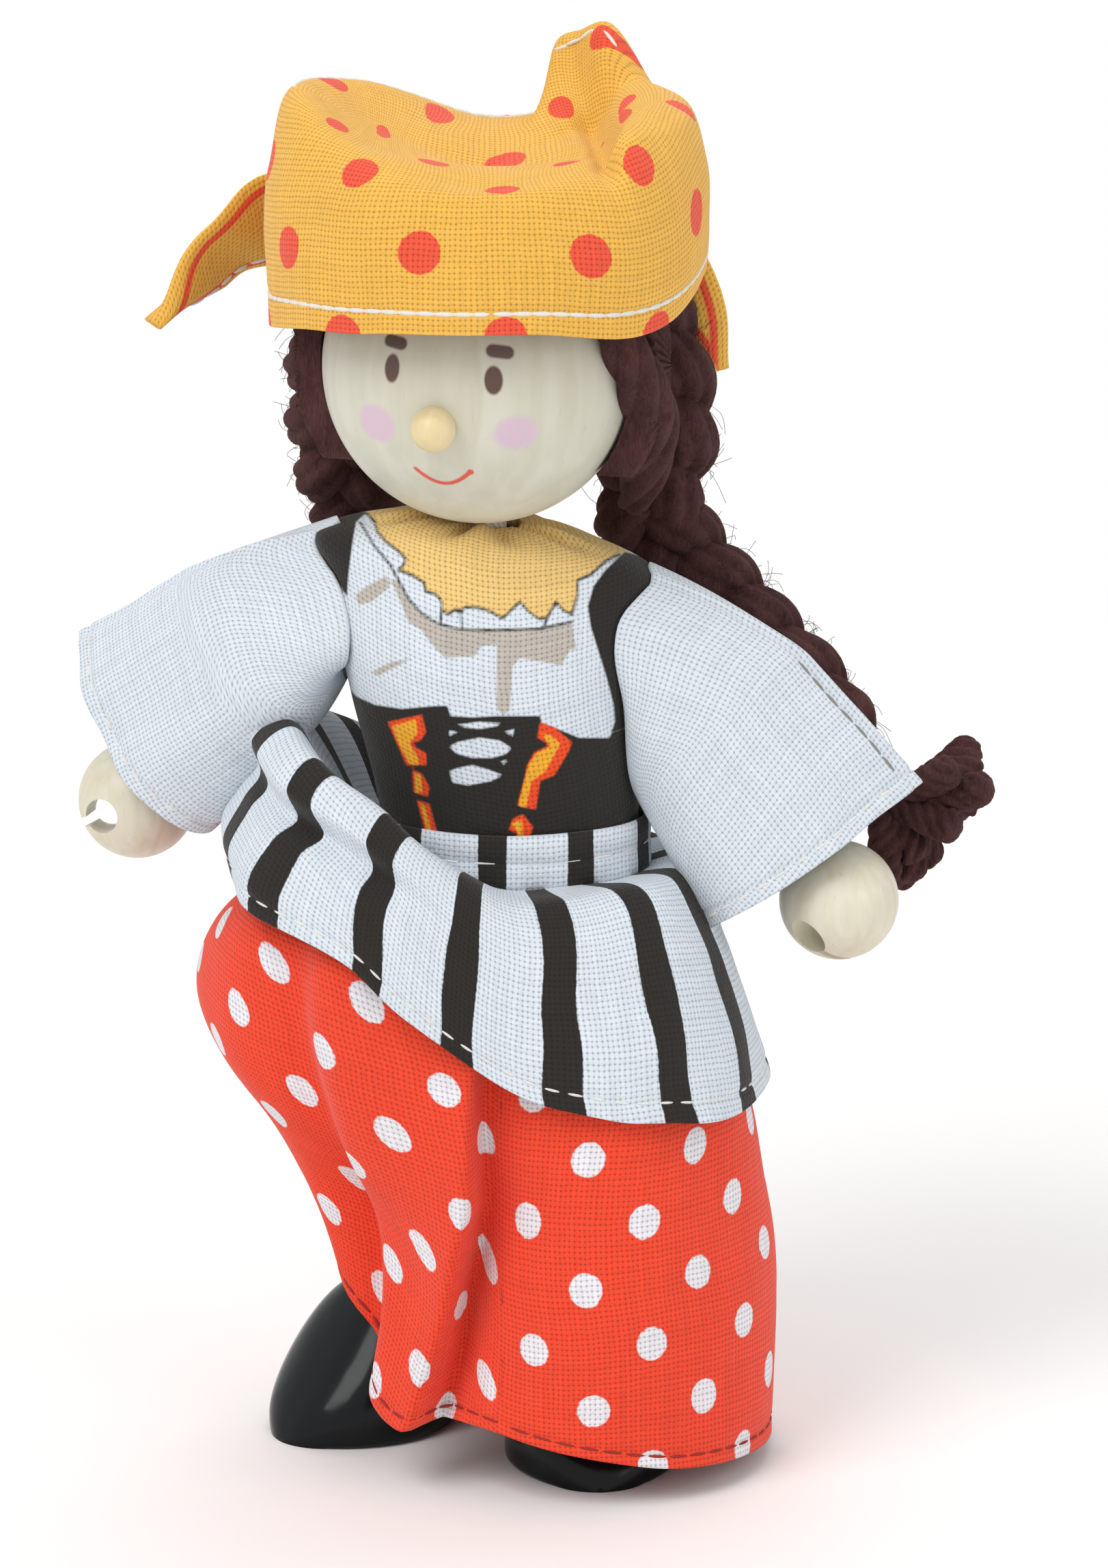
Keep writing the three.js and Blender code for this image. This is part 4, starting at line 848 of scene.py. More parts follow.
def sewn_sleeve(side):
    """A sleeve's points, with each column started where it leaves the bodice."""
    angle, t = np.meshgrid(full_turn(SLEEVE_COLUMNS), np.arange(201) / 200)
    inside = inside_bodice(sleeve_points(side, angle, t), 0.3)
    start = np.where(inside, t, 0).max(axis=0)
    start = np.convolve(np.concatenate([start[-5:-1], start, start[1:5]]), np.ones(9) / 9, mode="valid")
    angle, t = np.meshgrid(angle[0], np.arange(SLEEVE_ROWS + 1) / SLEEVE_ROWS)
    return sleeve_points(side, angle, start + (1 - start) * t)


blouse_cotton = woven_cotton("plain_white_cotton", lambda tree, lengths: hex_colour(WHITE_CLOTH)[:3])
grey_thread = sewing_thread("grey_thread", "#8E8B86")
for side in ("right", "left"):
    points = roughen(sewn_sleeve(side), 6, 0.22, 11)
    sleeve = sew(f"{side}_bell_sleeve", points, CLOTH_WALL)
    sleeve.data.materials.append(blouse_cotton)
    cuff_row = round(CUFF_HEM * SLEEVE_ROWS)
    cuff = stitch_row(f"{side}_cuff_stitches", points[cuff_row, :-1], white_thread, closed=True)
    seam_column = round((SEAM_TURN[side] % (2 * math.pi)) / (2 * math.pi) * SLEEVE_COLUMNS)
    seam_line = points[SEAM_START_ROW:cuff_row + 2, seam_column + STITCHES_BESIDE_SEAM]
    seam = stitch_row(f"{side}_sleeve_seam_stitches", seam_line, grey_thread, 1.4, 0.1, 0.13)
    for piece in (sleeve, cuff, seam):
        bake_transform(piece)
    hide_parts(f"{side}_sleeve")


# Head: a turned and sanded hardwood ball, bored from below, with the eyes, brows, mouth and cheeks painted on
# it, and a small turned bead glued on for the nose.
FACE_TURN = -16


def face_direction(azimuth, elevation):
    a, e = math.radians(FACE_TURN + azimuth), math.radians(elevation)
    return Vector((math.sin(a) * math.cos(e), -math.cos(a) * math.cos(e), math.sin(e)))


def turned_wood(name, light, dark, rings=0.55):
    """Sanded pale hardwood: fine straight grain along one axis, small dark pores, and a thin wax."""
    material, tree, shader = new_material(name)
    here = object_place(tree)
    along = node(tree, "ShaderNodeMapping", {}, Vector=here, Rotation=(0.3, 0.5, 0.2),
                 Scale=(rings / MM, rings / MM, 0.08 * rings / MM)).outputs[0]
    grain = noise_at(tree, along, 1.0, 4.0, Distortion=0.6)
    banded = remap(tree, grain, From_Min=0.35, From_Max=0.68)
    pore_at = node(tree, "ShaderNodeMapping", {}, Vector=here, Rotation=(0.3, 0.5, 0.2),
                   Scale=(4.2 / MM, 4.2 / MM, 0.5 / MM)).outputs[0]
    pores = noise_at(tree, pore_at, 1.0, 2.0)
    pored = remap(tree, pores, From_Min=0.66, From_Max=0.78, To_Max=0.35)
    colour = mix_colour(tree, banded, hex_colour(light), hex_colour(dark))
    darker = tuple(part * 0.7 for part in hex_colour(dark)[:3]) + (1.0,)
    colour = mix_colour(tree, pored, colour, darker)
    set_surface(shader, Roughness=0.42, Coat_Weight=0.08, Coat_Roughness=0.35, Subsurface_Weight=0.06,
                Subsurface_Scale=0.5 * MM)
    add_bumps(tree, shader, 0.18, 0.05, pores)
    tree.links.new(colour, shader.inputs["Base Color"])
    return material, tree, shader, colour


def turned_ball(name, centre, radius, segments=160):
    bpy.ops.object.select_all(action="DESELECT")
    bpy.ops.mesh.primitive_uv_sphere_add(segments=segments, ring_count=segments // 2, radius=radius * MM,
                                         location=place(centre))
    piece = bpy.context.object
    bpy.ops.object.transform_apply(location=True, rotation=False, scale=False)
    piece.name = piece.data.name = name
    bpy.ops.object.shade_smooth()
    return piece


def drill(piece, start, end, radius):
    """Bores a round hole through a piece from one point to another, in the doll's millimetres."""
    start, end = place(start), place(end)
    bpy.ops.object.select_all(action="DESELECT")
    bpy.ops.mesh.primitive_cylinder_add(vertices=48, radius=radius * MM, depth=(end - start).length,
                                        location=(start + end) / 2,
                                        rotation=(end - start).to_track_quat("Z", "X").to_euler())
    cut_by(piece, bpy.context.object)


NECK_PIVOT = Vector((-3.8, 4.4, 64))
head = turned_ball("painted_head", HEAD, HEAD_RADIUS, 352)
points = doll_points(head) - np.array(HEAD)
ways = points / np.linalg.norm(points, axis=1, keepdims=True)


def spot_distance(azimuth, elevation, half_width, half_height):
    """Distance over the ball from a painted oval's edge, negative inside it."""
    towards = face_direction(azimuth, elevation)
    beside = Vector((0, 0, 1)).cross(towards).normalized()
    above = towards.cross(beside)
    away = np.hypot(ways @ np.array(beside) / half_width, ways @ np.array(above) / half_height) * HEAD_RADIUS
    return np.where(ways @ np.array(towards) > 0, (away - 1) * min(half_width, half_height), 9.0)


def brush_distance(path, width):
    """Distance over the ball from a painted line through (azimuth, elevation) points."""
    places = np.array([face_direction(*spot) for spot in path]) * HEAD_RADIUS
    nearest = np.full(len(points), 99.0)
    for start, end in zip(places, places[1:]):
        run, off = end - start, points - start
        share = np.clip(off @ run / (run @ run), 0, 1)
        nearest = np.minimum(nearest, np.linalg.norm(off - share[:, None] * run, axis=1))
    return nearest - width / 2


MOUTH = [(0.3 + 11.8 * step, -36 + 6.4 * step * step) for step in np.linspace(-1, 1, 13)]
BROWS = [[(-20, 18.6), (-14.6, 18)], [(20.8, 17), (26.4, 16.2)]]
store(head.data, "eyes", np.minimum(spot_distance(-17.4, 8.9, 0.6, 1.0), spot_distance(21, 6.5, 0.64, 1.0)))
store(head.data, "brows", np.minimum(brush_distance(BROWS[0], 0.9), brush_distance(BROWS[1], 0.92)))
store(head.data, "mouth", np.minimum(brush_distance(MOUTH, 0.35), spot_distance(12.1, -29.8, 0.25, 0.27)))
cheeks = spot_distance(-25.4, -12.6, 1.6, 1.35), spot_distance(29.4, -13.4, 1.55, 1.22)
store(head.data, "cheeks", np.minimum(*cheeks))
pale_wood, tree, shader, colour = turned_wood("pale_turned_wood", "#CFCDBD", "#C6C3B0")
for name, code, soft in (("cheeks", "#CFB6C4", 0.22), ("brows", "#5C4842", 0.09), ("eyes", "#5B3F36", 0.07),
                         ("mouth", "#D9533F", 0.06)):
    colour = painted(tree, colour, read_attribute(tree, name), hex_colour(code), soft)
tree.links.new(colour, shader.inputs["Base Color"])
head.data.materials.append(pale_wood)
neck_run = (HEAD - NECK_PIVOT).normalized()
drill(head, NECK_PIVOT + neck_run * 1, HEAD - neck_run * 4.6, 1.85)
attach(head, "head")
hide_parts("head_ball")

nose_wood = turned_wood("honey_turned_wood", "#E0CFA2", "#DAC798", 1.4)[0]
NOSE_RADIUS = 1.55
nose_at = HEAD + face_direction(0, -10.6) * (HEAD_RADIUS + NOSE_RADIUS * 0.45)
nose = turned_ball("turned_nose_bead", nose_at, NOSE_RADIUS, 64)
nose.data.materials.append(nose_wood)
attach(nose, "head")
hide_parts("nose_bead")


# Hair: soft brown wool yarn. It is glued over the head from a middle parting, gathered at each side, plaited
# in three locks, tied with the same yarn, and cut below the tie, where its ends open out.
HAIR_RADIUS = HEAD_RADIUS + 0.35 + 1.9
LOCKS = 46
CAP_RINGS, CAP_SIDES = 181, 420


def soft_yarn(name, dark, light):
    """Brushed wool yarn: many fine fibres with a soft sheen, no highlights of its own."""
    material, tree, shader = new_material(name)
    here = object_place(tree)
    drawn_out = vector_node(tree, "MULTIPLY", i0=here, i1=(1, 1, 0.2))
    fibres = noise_at(tree, drawn_out, 5 / MM, 4.0, Roughness=0.65, Distortion=1.5)
    clumps = noise_at(tree, here, 0.4 / MM, 2.0)
    mixed = math_node(tree, "MULTIPLY_ADD", clumps, 0.5, math_node(tree, "MULTIPLY", fibres, 0.75))
    share = remap(tree, mixed, From_Min=0.42, From_Max=0.86)
    colour_between(tree, shader, share, dark, light)
    set_surface(shader, Roughness=0.95, Specular_IOR_Level=0.15, Sheen_Weight=0.25, Sheen_Roughness=0.4,
                Sheen_Tint=hex_colour("#8A6A62"))
    add_bumps(tree, shader, 0.7, 0.14, fibres)
    return material


brown_yarn = soft_yarn("brown_wool_yarn", "#2E1A1C", "#5C3D3A")


def mesh_piece(name, points, faces, material=brown_yarn):
    """A piece from points in the doll's millimetres."""
    mesh = bpy.data.meshes.new(name)
    mesh.from_pydata(((np.asarray(points).reshape(-1, 3) + np.array(SHIFT)) * MM).tolist(), [], faces)
    mesh.materials.append(material)
    piece = bpy.data.objects.new(name, mesh)
    bpy.context.scene.collection.objects.link(piece)
    select_all_of(piece)
    bpy.ops.mesh.normals_make_consistent(inside=False)
    bpy.ops.object.mode_set(mode="OBJECT")
    bpy.ops.object.shade_smooth()
    return piece


def tube_faces(rings, sides, first=0):
    """Faces of a closed tube of rings, with both ends capped."""
    faces = [[first + row * sides + i, first + row * sides + (i + 1) % sides,
              first + (row + 1) * sides + (i + 1) % sides, first + (row + 1) * sides + i]
             for row in range(rings - 1) for i in range(sides)]
    ends = [[first + i for i in range(sides)][::-1], [first + (rings - 1) * sides + i for i in range(sides)]]
    return faces + ends


def curve_through(points, count):
    """Evenly spaced places along a smooth curve through a few points."""
    points = np.asarray(points, float)
    keys = np.linspace(0, len(points) - 1, 400)
    fine = np.stack([smooth_keys(points[:, axis], keys, False) for axis in range(3)], axis=-1)
    reach = arc_lengths(fine, 0)
    return places_along(fine, reach, np.linspace(0, reach[-1], count))


def frames_along(path):
    """Directions across a path at each of its points, turned as little as possible from one to the next."""
    tangents = np.gradient(path, axis=0)
    tangents /= np.linalg.norm(tangents, axis=1, keepdims=True)
    side = np.array((1.0, 0, 0))
    sides = []
    for tangent in tangents:
        side = side - tangent * (side @ tangent)
        side /= np.linalg.norm(side)
        sides.append(side.copy())
    sides = np.array(sides)
    return tangents, sides, np.cross(tangents, sides)


def yarn_tube(path, radii, plies, twist, sides=26, depth=0.16, phase=0.0):
    """Points of a rope of yarn: its section has one lobe for each ply, and turns along the path."""
    tangents, side, other = frames_along(path)
    reach = arc_lengths(path, 0)
    angle = np.arange(sides) / sides * 2 * math.pi
    turned = angle[None, :] + phase
    lobes = np.abs(np.cos(plies / 2 * (turned - (reach * twist)[:, None])))
    radius = radii[:, None] * (1 - depth + depth * 1.5 * lobes ** 0.7)
    return (path[:, None, :] + (radius * np.cos(turned))[..., None] * side[:, None, :]
            + (radius * np.sin(turned))[..., None] * other[:, None, :])


# The cap: yarn laid side by side from the root of one plait over the head to the root of the other.
turn, reach = np.meshgrid(full_turn(CAP_SIDES), np.linspace(0.12, math.pi - 0.12, CAP_RINGS))
strand = np.abs(np.sin(turn * LOCKS / 2 + 0.35 * np.sin(3 * reach + 1)))
ply = np.abs(np.sin(turn * LOCKS * 1.5 + reach * 40))
radius = HAIR_RADIUS - 0.55 + 0.5 * strand ** 0.6 + 0.1 * ply + 0.1 * np.sin(turn * 7 + 2) * np.sin(reach * 2)
cap_points = np.stack([HEAD.x - np.cos(reach) * radius, HEAD.y + np.sin(reach) * np.cos(turn) * radius,
                       HEAD.z + np.sin(reach) * np.sin(turn) * radius], axis=-1)[:, :-1]
cap = mesh_piece("laid_yarn_cap", cap_points, tube_faces(CAP_RINGS, CAP_SIDES))


cut_by(cap, turned_ball("cutter", HEAD, HEAD_RADIUS + 0.3, 96))
face_turn = math.radians(FACE_TURN)
for offset, turned in (((0, -16.5, 0), face_turn), ((0, 0, -22), 0)):
    bpy.ops.object.select_all(action="DESELECT")
    spin = Matrix.Rotation(turned, 3, "Z")
    block_at = place(HEAD + spin @ Vector(offset))
    bpy.ops.mesh.primitive_cube_add(size=1, location=block_at, rotation=(0, 0, turned))
    block = bpy.context.object
    block.dimensions = (60 * MM, 30 * MM, 60 * MM) if turned else (60 * MM, 60 * MM, 30 * MM)
    cut_by(cap, block)
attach(cap, "head")
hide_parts("hair_cap")

lock_path = curve_through([HEAD + Vector(key) for key in (
    (8.2, -7.4, 6.5), (9.6, -6.4, 3), (11, -4.2, -0.8), (11.7, -1, -4), (11.4, 2.5, -8), (10.6, 5, -11))], 90)
lock_width = 1.9 * np.sin(np.linspace(0.25, math.pi - 0.3, 90)) ** 0.5
lock = mesh_piece("yarn_beside_the_face", yarn_tube(lock_path, lock_width, 5, 0.3, sides=48, depth=0.2),
                  tube_faces(90, 48))
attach(lock, "head")


FIBRE_RINGS, FIBRE_SIDES, FIBRE_RADIUS = 7, 3, 0.02


def loose_fibres(path, width, count):
    """Fine fibres that stand off a plait: thin curved hairs, each as points by row."""
    tangents, across, over = frames_along(path)
    hairs = []
    for _ in range(count):
        k = chance.randrange(6, len(path) - 8)
        angle = chance.uniform(0, 2 * math.pi)
        off = across[k] * math.cos(angle) + over[k] * math.sin(angle) * 0.8
        lean = tangents[k] * chance.uniform(-1, 1) + np.array([chance.uniform(-0.6, 0.6) for _ in range(3)])
        root = path[k] + off * width[k] * 0.8
        keys = [root, root + off * chance.uniform(0.5, 0.9) + lean * 0.8,
                root + off * chance.uniform(0, 1.1) + lean * 1.8]
        hairs.append(yarn_tube(curve_through(keys, FIBRE_RINGS), np.full(FIBRE_RINGS, FIBRE_RADIUS), 2, 0,
                               sides=FIBRE_SIDES, depth=0))
    return hairs


PLAIT_RADIUS, PLAIT_PITCH = 3.9, 13.0
PLAIT_RINGS, ROPE_SIDES = 190, 42
TASSEL_RINGS, TASSEL_SIDES = 40, 30
PLAITS = {
    "left": [(9.5, 8, 4), (12, 7.4, -2.5), (12.4, 7.8, -8.2), (11.6, 9.4, -12.2), (14.4, 10, -16.8),
             (18, 10, -20.7), (22.8, 9, -25.6), (26.6, 7.6, -30.6)],
    "right": [(-9, 8.5, 3.2), (-9.6, 8.9, -2.2), (-9.8, 10.6, -7.7), (-8.9, 12.8, -12.7), (-7.8, 14.8, -17.8),
              (-6.8, 16, -22.3)],
}
TASSELS = {"left": (12, Vector((0.97, 0.1, 0.3)), Vector((0.1, -0.1, -1)), 8.4),
           "right": (9, Vector((-0.45, 0.2, -1)), Vector((0.45, 0.1, -1)), 7)}
chance = random.Random(5)
for side, keys in PLAITS.items():
    path = curve_through([HEAD + Vector(key) for key in keys], PLAIT_RINGS)
    tangents, across, over = frames_along(path)
    reach = arc_lengths(path, 0)
    s = reach / reach[-1]
    width = PLAIT_RADIUS * (1.12 - 0.32 * s) * np.minimum(1, np.minimum(0.6 + 9 * s, 0.5 + 7 * (1 - s)))
    points, faces = [], []
    for lock in range(3):
        turned = 2 * math.pi * (reach / PLAIT_PITCH + lock / 3)
        middle = (path + across * (0.52 * width * np.sin(turned))[:, None]
                  + over * (0.3 * width * np.sin(2 * turned))[:, None])
        faces += tube_faces(PLAIT_RINGS, ROPE_SIDES, len(points) * PLAIT_RINGS * ROPE_SIDES)
        points.append(yarn_tube(middle, 0.52 * width, 7, 0.34, sides=ROPE_SIDES, depth=0.14, phase=lock))
    for hair in loose_fibres(path, width, 900):
        faces += tube_faces(FIBRE_RINGS, FIBRE_SIDES, sum(part.size for part in points) // 3)
        points.append(hair)
    plait = mesh_piece(f"{side}_yarn_plait", np.vstack([part.reshape(-1, 3) for part in points]), faces)
    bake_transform(plait)
    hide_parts(f"{side}_plait")

    # The tie: the same yarn wound three times round the plait's end.
    direction = Vector(tangents[-1])
    start = Vector(path[-1]) + direction * 0.2
    wide = Vector(across[-1])
    thin = direction.cross(wide)
    wound = [start + direction * (1.5 * k / 72) + (wide * math.cos(k / 72 * 6 * math.pi)
             + thin * math.sin(k / 72 * 6 * math.pi)) * 1.25 for k in range(73)]
    tie_path = curve_through(wound, 200)
    tie = mesh_piece(f"{side}_wound_tie", yarn_tube(tie_path, np.full(200, 0.42), 3, 3.0, sides=18),
                     tube_faces(200, 18))
    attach(tie, "neck")
    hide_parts(f"{side}_plait_tie")

    # The tassel: the cut ends of the yarn, each of several plies, fanned out from the tie.
    count, first, last, length = TASSELS[side]
    root = start + direction * 1.2
    points, faces = [], []
    for end in range(count):
        share = (end + 0.5) / count
        aside = (first.lerp(last, share) + Vector([chance.uniform(-0.2, 0.2) for _ in range(3)])).normalized()
        aside += Vector((0, (-0.45, 0.1, 0.5)[end % 3], 0))
        long = length * chance.uniform(0.8, 1.1)
        keys = [root - direction * 0.6 + aside * 0.3,
                root + (direction + aside).normalized() * long * 0.3,
                root + (direction * 0.25 + aside).normalized() * long * 0.65,
                root + aside.normalized() * long]
        rope = curve_through(keys, TASSEL_RINGS)
        along = np.linspace(0, 1, TASSEL_RINGS)
        radii = 0.75 + 0.5 * along ** 0.6
        radii[-4:] *= (0.96, 0.88, 0.74, 0.5)
        faces += tube_faces(TASSEL_RINGS, TASSEL_SIDES, len(points) * TASSEL_RINGS * TASSEL_SIDES)
        points.append(yarn_tube(rope, radii, 5, 1.1, sides=TASSEL_SIDES, depth=0.2, phase=end))
    tassel = mesh_piece(f"{side}_yarn_tassel", np.array(points), faces)
    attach(tassel, "neck")
    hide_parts(f"{side}_tassel")


# Bandana: a square of yellow cotton printed with orange-red dots, folded over the head so that it stands up
# round a sunken top. It is hemmed with white thread and knotted behind, and one corner sticks up at the back.
SCARF_HALF_WIDTH, SCARF_HEIGHT, SCARF_CORNER = 15.5, 11.6, 4.9
SCARF_CENTRE = HEAD + Vector((0.7, 0.6, 0))
SCARF_HEM = HEAD.z + 5.6
SCARF_SEAT = HEAD.z + HAIR_RADIUS + 0.35 + CLOTH_WALL
SCARF_PITCH = 11.8
HEM_SEAM = 0.925
ROWS, COLUMNS = 150, 240
SCARF_HEM_ROW, SCARF_RIM_ROW, SCARF_CORNER_ROW = 139, 60, 53
SCARF_YELLOW, SCARF_RED = hex_colour("#E3AE4C"), hex_colour("#E4533A")


def scarf_profile(hem_rise, width, rim_rise, lean):
    top = SCARF_HEM + SCARF_HEIGHT
    return [(0.03, SCARF_SEAT),
            (width * 0.5, top - 1.4 + rim_rise * 0.3),
            (width * (0.87 - lean), top + rim_rise),
            (width * (0.985 - lean * 0.5), SCARF_HEM + SCARF_HEIGHT * 0.74),
            (width, SCARF_HEM + SCARF_HEIGHT * 0.38),
            (width * 0.99, SCARF_HEM + hem_rise)]


SCARF = [scarf_profile(rise, SCARF_HALF_WIDTH * wide, rim, lean) for rise, wide, rim, lean in (
    (-0.3, 1, -2.6, 0.13), (-1.1, 1.02, -0.8, 0.08), (-2.6, 1, 2, 0), (-2.4, 0.99, 1, 0), (-3, 0.95, -2.4, 0),
    (-1, 0.99, -0.2, 0), (1.5, 0.97, 0.1, 0), (-1.2, 1, -1.2, 0.11))]


def scarf_fold(turn, t):
    pulled = ridge(turn, 0.42, 0.03, 0.6) + ridge(turn, 0.58, 0.03, 0.6) + ridge(turn, 0.9, 0.04, 0.3)
    return t * pulled - 0.14 * bell(t - HEM_SEAM, 0.009)


def scarf_corner(turn, t):
    return SCARF_CORNER * np.exp(-(((turn - 0.602) / 0.043) ** 6)) * bell(t - 0.42, 0.16)


def scarf_lift(turn, t):
    """The corner that stands up at the back, and the fold that runs from it over the top to the front."""
    out = np.interp(t, (0, 0.2, 0.4, 0.6, 1), (0, 7.75, 13.5, 15.3, 15.5))
    right_way, back_way = -np.sin(2 * math.pi * turn) * out, -np.cos(2 * math.pi * turn) * out
    beside = right_way - (8.4 - 0.1 * back_way)
    fade = np.clip((0.66 - t) / 0.2, 0, 1) * np.clip((back_way + 15) / 5, 0, 1)
    fade = fade * np.clip((11 - back_way) / 4, 0, 1)
    bulge = 1.7 / (1 + np.exp(-beside / 0.35)) * bell(beside, 5.5)
    valley = -1.1 * bell(beside + 0.7, 0.9)
    crease = -0.5 * bell(back_way + 0.35 * right_way + 1.5, 2.2) * np.clip(1 - t / 0.5, 0, 1)
    return scarf_corner(turn, t) + fade * (bulge + valley) + crease


scarf_points = roughen(hang(SCARF, ROWS, COLUMNS, scarf_fold, scarf_lift, SCARF_CENTRE[:2]), 6, 0.22, 21)
turn, t = np.meshgrid(np.arange(COLUMNS + 1) / COLUMNS, np.arange(ROWS + 1) / ROWS)
raised = scarf_corner(turn, t)[..., None]
unraised_points = scarf_points - raised * (0, 0, 1)
scarf_points = scarf_points - raised * (0.34, 0, 0)
scarf = sew("dotted_bandana", scarf_points, CLOTH_WALL)


def lay_print(piece, points, level):
    """Lays out the cloth's map: flat over the top, and round the wall with its rows along the hem. The back
    half mirrors the front half, so that the map meets itself at the sides."""
    run = arc_lengths(level, 0)[:, :-1]
    climbed = (points - level)[:, :-1, 2]
    turned = np.broadcast_to(np.arange(run.shape[1]) / run.shape[1] * 2 * math.pi, run.shape)
    flat = np.stack([-np.sin(turned) * run, climbed - np.cos(turned) * run * 0.8], axis=-1)
    round_the_wall = -np.arcsin(np.sin(turned)) * SCARF_HALF_WIDTH
    down_the_wall = 2 * SCARF_PITCH - 0.2 + climbed - (run[-1] - run)
    share = eased(np.clip((run - 5) / (SCARF_HALF_WIDTH * 0.95 - 5), 0, 1)[..., None])
    front, back = [(flat * (1 - share) + np.stack([round_the_wall, -side * down_the_wall], axis=-1) * share
                    ).reshape(-1, 2) for side in (1, -1)]
    spots = points[:, :-1].reshape(-1, 3)
    tree = KDTree(len(spots))
    for index, spot in enumerate(spots):
        tree.insert(spot, index)
    tree.balance()
    corner_points = doll_points(piece)
    found = np.array([tree.find(spot)[1] for spot in corner_points])
    lengths = np.empty((len(piece.data.loops), 2))
    for face in piece.data.polygons:
        corners = list(face.vertices)
        place_of = front if corner_points[corners, 1].mean() < SCARF_CENTRE.y else back
        lengths[face.loop_start:face.loop_start + len(corners)] = place_of[found[corners]]
    piece.data.uv_layers["cloth"].data.foreach_set("uv", (lengths * UV_PER_MM).ravel())


lay_print(scarf, scarf_points, unraised_points)


def dotted_scarf(tree, lengths):
    return printed_dots(tree, lengths, SCARF_YELLOW, SCARF_RED, SCARF_PITCH, 1.5, (-0.09, 0))


scarf.data.materials.append(woven_cotton("yellow_dotted_cotton", dotted_scarf))
scarf_hem_line = scarf_points[SCARF_HEM_ROW, :-1]
rim_line = scarf_points[SCARF_RIM_ROW, 62:138]
corner_line = scarf_points[SCARF_CORNER_ROW, 138:156]
scarf_seams = [stitch_row("bandana_hem_stitches", scarf_hem_line, white_thread, 1.6, -0.3, 0.19, closed=True),
               stitch_row("bandana_rim_stitches", rim_line, white_thread, 1.6, -0.3, 0.17),
               stitch_row("bandana_corner_stitches", corner_line, white_thread, 1.6, -0.3, 0.17)]


def bordered_scarf(tree, lengths):
    edge = read_attribute(tree, "from_edge")
    off_middle = math_node(tree, "ABSOLUTE", math_node(tree, "SUBTRACT", edge, 0.85))
    off_line = math_node(tree, "SUBTRACT", off_middle, 0.26)
    return painted(tree, SCARF_YELLOW, off_line, SCARF_RED)


bordered_cotton = woven_cotton("yellow_bordered_cotton", bordered_scarf)


def scarf_end(name, keys, widths, upright):
    """A scarf end: a folded strip with lens-shaped sections, which tapers to its tip."""
    spots = [HEAD + Vector((x * SCARF_HALF_WIDTH, y * SCARF_HALF_WIDTH, z)) for x, y, z in keys]
    path = curve_through(spots, 91)
    tangents = frames_along(path)[0]
    wide = np.array(upright, float) - tangents * (tangents @ np.array(upright, float))[:, None]
    wide /= np.linalg.norm(wide, axis=1, keepdims=True)
    thin = np.cross(tangents, wide)
    half = smooth_keys(widths, np.linspace(0, len(widths) - 1, 91), False)
    angle = full_turn(80)
    fold = 0.25 * np.sin(path[:, :1] * 1.3 + 2 * np.cos(angle)[None, :])
    points = (path[:, None, :] + (half[:, None] * np.cos(angle))[..., None] * wide[:, None, :]
              + (0.77 * np.sin(angle)[None, :] + fold)[..., None] * thin[:, None, :])
    piece = sew(name, points, 0.3)
    here = doll_points(piece)
    nearest = np.array([np.argmin(((path - spot) ** 2).sum(axis=1)) for spot in here])
    off = ((here - path[nearest]) * wide[nearest]).sum(axis=1)
    store(piece.data, "from_edge", half[nearest] - np.abs(off))
    piece.data.materials.append(bordered_cotton)
    edge = stitch_row(name + "_stitches", points[8:84, 50], white_thread, 1.3, 0.15, 0.15)
    return piece, edge


left_end, left_edge = scarf_end(
    "bandana_end_left",
    [(-0.17, 1.12, 8.6), (-0.56, 1.02, 8.8), (-0.96, 0.8, 7.8), (-1.22, 0.64, 5.4), (-1.48, 0.48, 1.2)],
    [1.4, 2.6, 3.6, 3, 0.35], (0.5, 0, 1))
right_end, right_edge = scarf_end(
    "bandana_end_right",
    [(0.24, 1.1, 8.6), (0.54, 1, 7.6), (0.83, 0.78, 5.4), (1, 0.6, 1.6), (1.08, 0.53, -2.2)],
    [1.4, 2.2, 2.6, 2, 0.6], (0.6, 0, 1))
turn, rise = np.meshgrid(full_turn(72), np.linspace(0.06, math.pi - 0.06, 49))
wrapped = 1 + 0.07 * np.sin(rise * 7 + np.cos(turn) * 2) + 0.05 * np.sin(turn * 4)
knot_at = SCARF_CENTRE + Vector((-0.4, SCARF_HALF_WIDTH * 0.95 + 0.35 + 1.6, 8))
knot_points = np.stack([knot_at.x + 3.2 * wrapped * np.sin(rise) * np.sin(turn),
                        knot_at.y - 2.0 * wrapped * np.sin(rise) * np.cos(turn),
                        knot_at.z + 2.5 * wrapped * np.cos(rise)], axis=-1)
knot = sew("tied_knot", knot_points, 0.3)
store(knot.data, "from_edge", np.full(len(knot.data.vertices), 5.0))
knot.data.materials.append(bordered_cotton)
scarf_pieces = [*scarf_seams, knot, left_end, left_edge, right_end, right_edge]
for piece, stands_for in ((scarf, "bandana"), (knot, "bandana_knot"), (left_end, "bandana_left_tail"),
                          (right_end, "bandana_right_tail")):
    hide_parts(stands_for)
for piece in (scarf, *scarf_pieces):
    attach(piece, "head")


# Shoes: shaped and sanded wood with a flat sole, dipped in black gloss lacquer, with a cup for the ankle.
SHOE_LENGTH, SHOE_WIDTH, SHOE_HEIGHT, SOLE_FLAT = 16.4, 12.6, 11.6, 0.4
WRAP_RADIUS, BEND_GAP = 1.5, 0.3
ANKLES = {"right": Vector((-11.5, 10.6, 9.4)), "left": Vector((3.5, 3.2, 9.4))}
HEADINGS = {"right": -48, "left": 4}
SHOE_STEPS = 96

